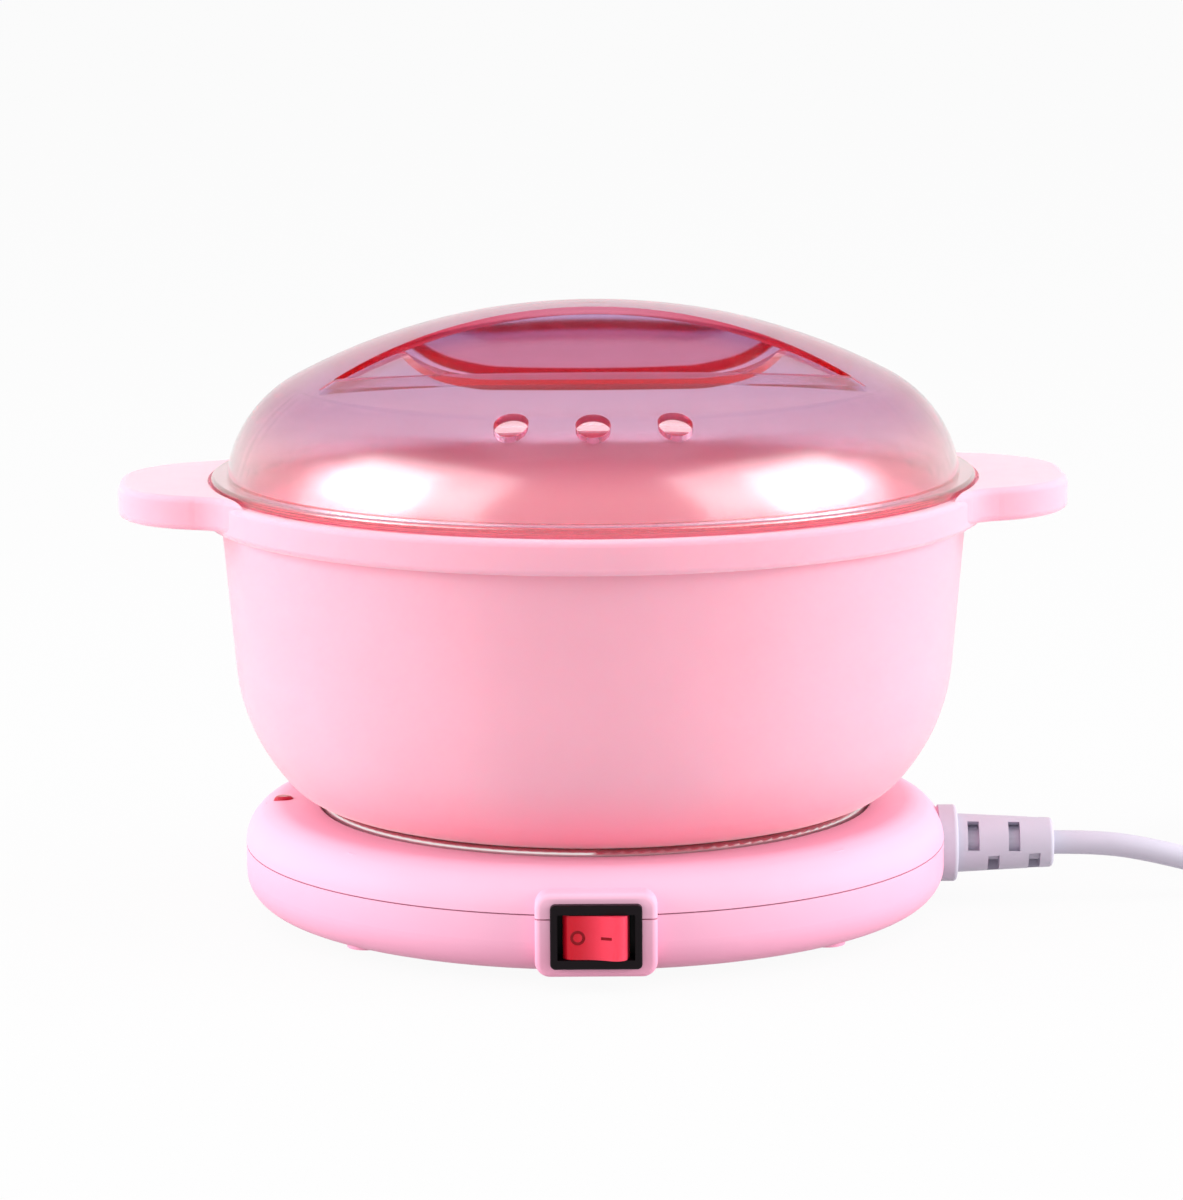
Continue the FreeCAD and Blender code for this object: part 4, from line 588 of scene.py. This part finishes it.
class WARMER_OT_stage(bpy.types.Operator):
    """Set the pale floor, the even light and the soft boxes"""
    bl_idname = "warmer.stage"
    bl_label = "Stage"

    # Place of each soft box, on the right where there is a pair, and its size
    BOXES = {
        "side_box": ((1.595, -0.22, 0.52), (1.24, 1.00)),
        "shine_box": ((0.67, -0.42, 0.53), (0.82, 0.62)),
        "glint_box": ((0.74, -0.23, 0.47), (0.50, 0.46)),
        "top_box": ((0.0, -0.10, 1.2), (0.9, 0.7)),
    }
    FACED = Vector((0.0, 0.0, 0.08))  # the point that the boxes are turned to
    FLOOR_HALF, FLOOR_LEVEL = 6.0, -0.0005
    FLOOR_TINT, FLOOR_WHITE = (0.55, 0.55, 0.56), 0.94  # linear colour, and its share of plain white

    def pale(self, tree, shader, share):
        """A lit shader, mostly plain white where it is looked at straight, mirrored or through clear things."""
        rays = add_node(tree, "ShaderNodeLightPath").outputs
        looked_at = rays["Is Camera Ray"]
        for ray in ("Is Glossy Ray", "Is Transmission Ray"):
            looked_at = add_node(tree, "ShaderNodeMath", looked_at, rays[ray], operation="MAXIMUM").outputs[0]
        part = add_node(tree, "ShaderNodeMath", looked_at, share, operation="MULTIPLY").outputs[0]
        white = add_node(tree, "ShaderNodeEmission").outputs[0]
        return add_node(tree, "ShaderNodeMixShader", part, shader, white).outputs[0]

    def even_light(self, scene, strength):
        """Even white light from all round, before a white background."""
        scene.world = world = bpy.data.worlds.new("even_light")
        world.use_nodes = True
        tree = world.node_tree
        light = tree.nodes["Background"]
        light.inputs["Color"].default_value = (1.0, 1.0, 1.0, 1.0)
        light.inputs["Strength"].default_value = strength
        join(self.pale(tree, light.outputs[0], 1.0), tree.nodes["World Output"].inputs["Surface"])

    def floor(self, scene):
        """A wide pale floor that keeps the warmer's shadow."""
        mesh = bpy.data.meshes.new("floor")
        shape = bmesh.new()
        bmesh.ops.create_grid(shape, x_segments=1, y_segments=1, size=self.FLOOR_HALF)
        shape.to_mesh(mesh)
        shape.free()
        floor = bpy.data.objects.new("floor", mesh)
        floor.location.z = self.FLOOR_LEVEL
        scene.collection.objects.link(floor)
        paint = Finish("floor_pale").tint(self.FLOOR_TINT, scale=3.0, spread=0.01)
        paint.rough(paint.noise(20.0), 0.85, 0.95)
        join(self.pale(paint.tree, paint.shader.outputs[0], self.FLOOR_WHITE), paint.output.inputs["Surface"])
        mesh.materials.append(paint.material)

    def soft_box(self, name, watts, side=1, shines_on=None):
        """A soft box turned to the pot, without a mirror image, or only seen in some objects' gloss."""
        (x, y, z), size = self.BOXES[name]
        data = bpy.data.lights.new(name, "AREA")
        data.shape = "RECTANGLE"
        data.size, data.size_y = size
        data.energy = watts
        box = bpy.data.objects.new(name, data)
        bpy.context.scene.collection.objects.link(box)
        box.location = place = Vector((x * side, y, z))
        box.rotation_mode = "QUATERNION"
        box.rotation_quaternion = (self.FACED - place).to_track_quat("-Z", "Y")
        if shines_on is None:
            box.visible_glossy = False
        else:
            box.visible_diffuse = box.visible_transmission = False
            box.light_linking.receiver_collection = shines_on

    def execute(self, context):
        studio, scene = context.scene.warmer_studio, context.scene
        self.even_light(scene, studio.fill)
        self.floor(scene)
        glossy = bpy.data.collections.new("glossy")
        glossy.objects.link(bpy.data.objects["lid_shell"])
        for side in (-1, 1):
            self.soft_box("side_box", studio.side, side)
            self.soft_box("shine_box", studio.shine, side, glossy)
            self.soft_box("glint_box", studio.glint, side, glossy)
        self.soft_box("top_box", studio.top)
        scene.view_settings.view_transform = "Standard"
        scene.cycles.max_bounces = 32
        scene.cycles.glossy_bounces = 16
        scene.cycles.transmission_bounces = 24
        return {"FINISHED"}


class WARMER_PT_panel(bpy.types.Panel):
    """The warmer's settings, and its pieces in the order they are made"""
    bl_idname = "WARMER_PT_panel"
    bl_label = "Wax warmer"
    bl_space_type = "VIEW_3D"
    bl_region_type = "UI"
    bl_category = "Warmer"

    def draw(self, context):
        for group in GROUPS:
            settings = getattr(context.scene, group)
            box = self.layout.box()
            for name in settings.__annotations__:
                box.prop(settings, name)
        for operator in OPERATORS:
            self.layout.operator(operator.bl_idname)


OPERATORS = (WARMER_OT_camera, WARMER_OT_cord, WARMER_OT_base, WARMER_OT_pot, WARMER_OT_lid, WARMER_OT_switch,
             WARMER_OT_indicator, WARMER_OT_inside, WARMER_OT_stage)
GROUPS = {"warmer_colours": WarmerColours, "warmer_cord": WarmerCord, "warmer_studio": WarmerStudio}
CLASSES = (*GROUPS.values(), *OPERATORS, WARMER_PT_panel)


def register():
    for cls in CLASSES:
        bpy.utils.register_class(cls)
    for name, group in GROUPS.items():
        setattr(bpy.types.Scene, name, PointerProperty(type=group))


def unregister():
    for name in GROUPS:
        delattr(bpy.types.Scene, name)
    for cls in reversed(CLASSES):
        bpy.utils.unregister_class(cls)


def main():
    register()
    for operator in OPERATORS:
        group, name = operator.bl_idname.split(".")
        getattr(getattr(bpy.ops, group), name)()


if __name__ == "__main__":
    main()
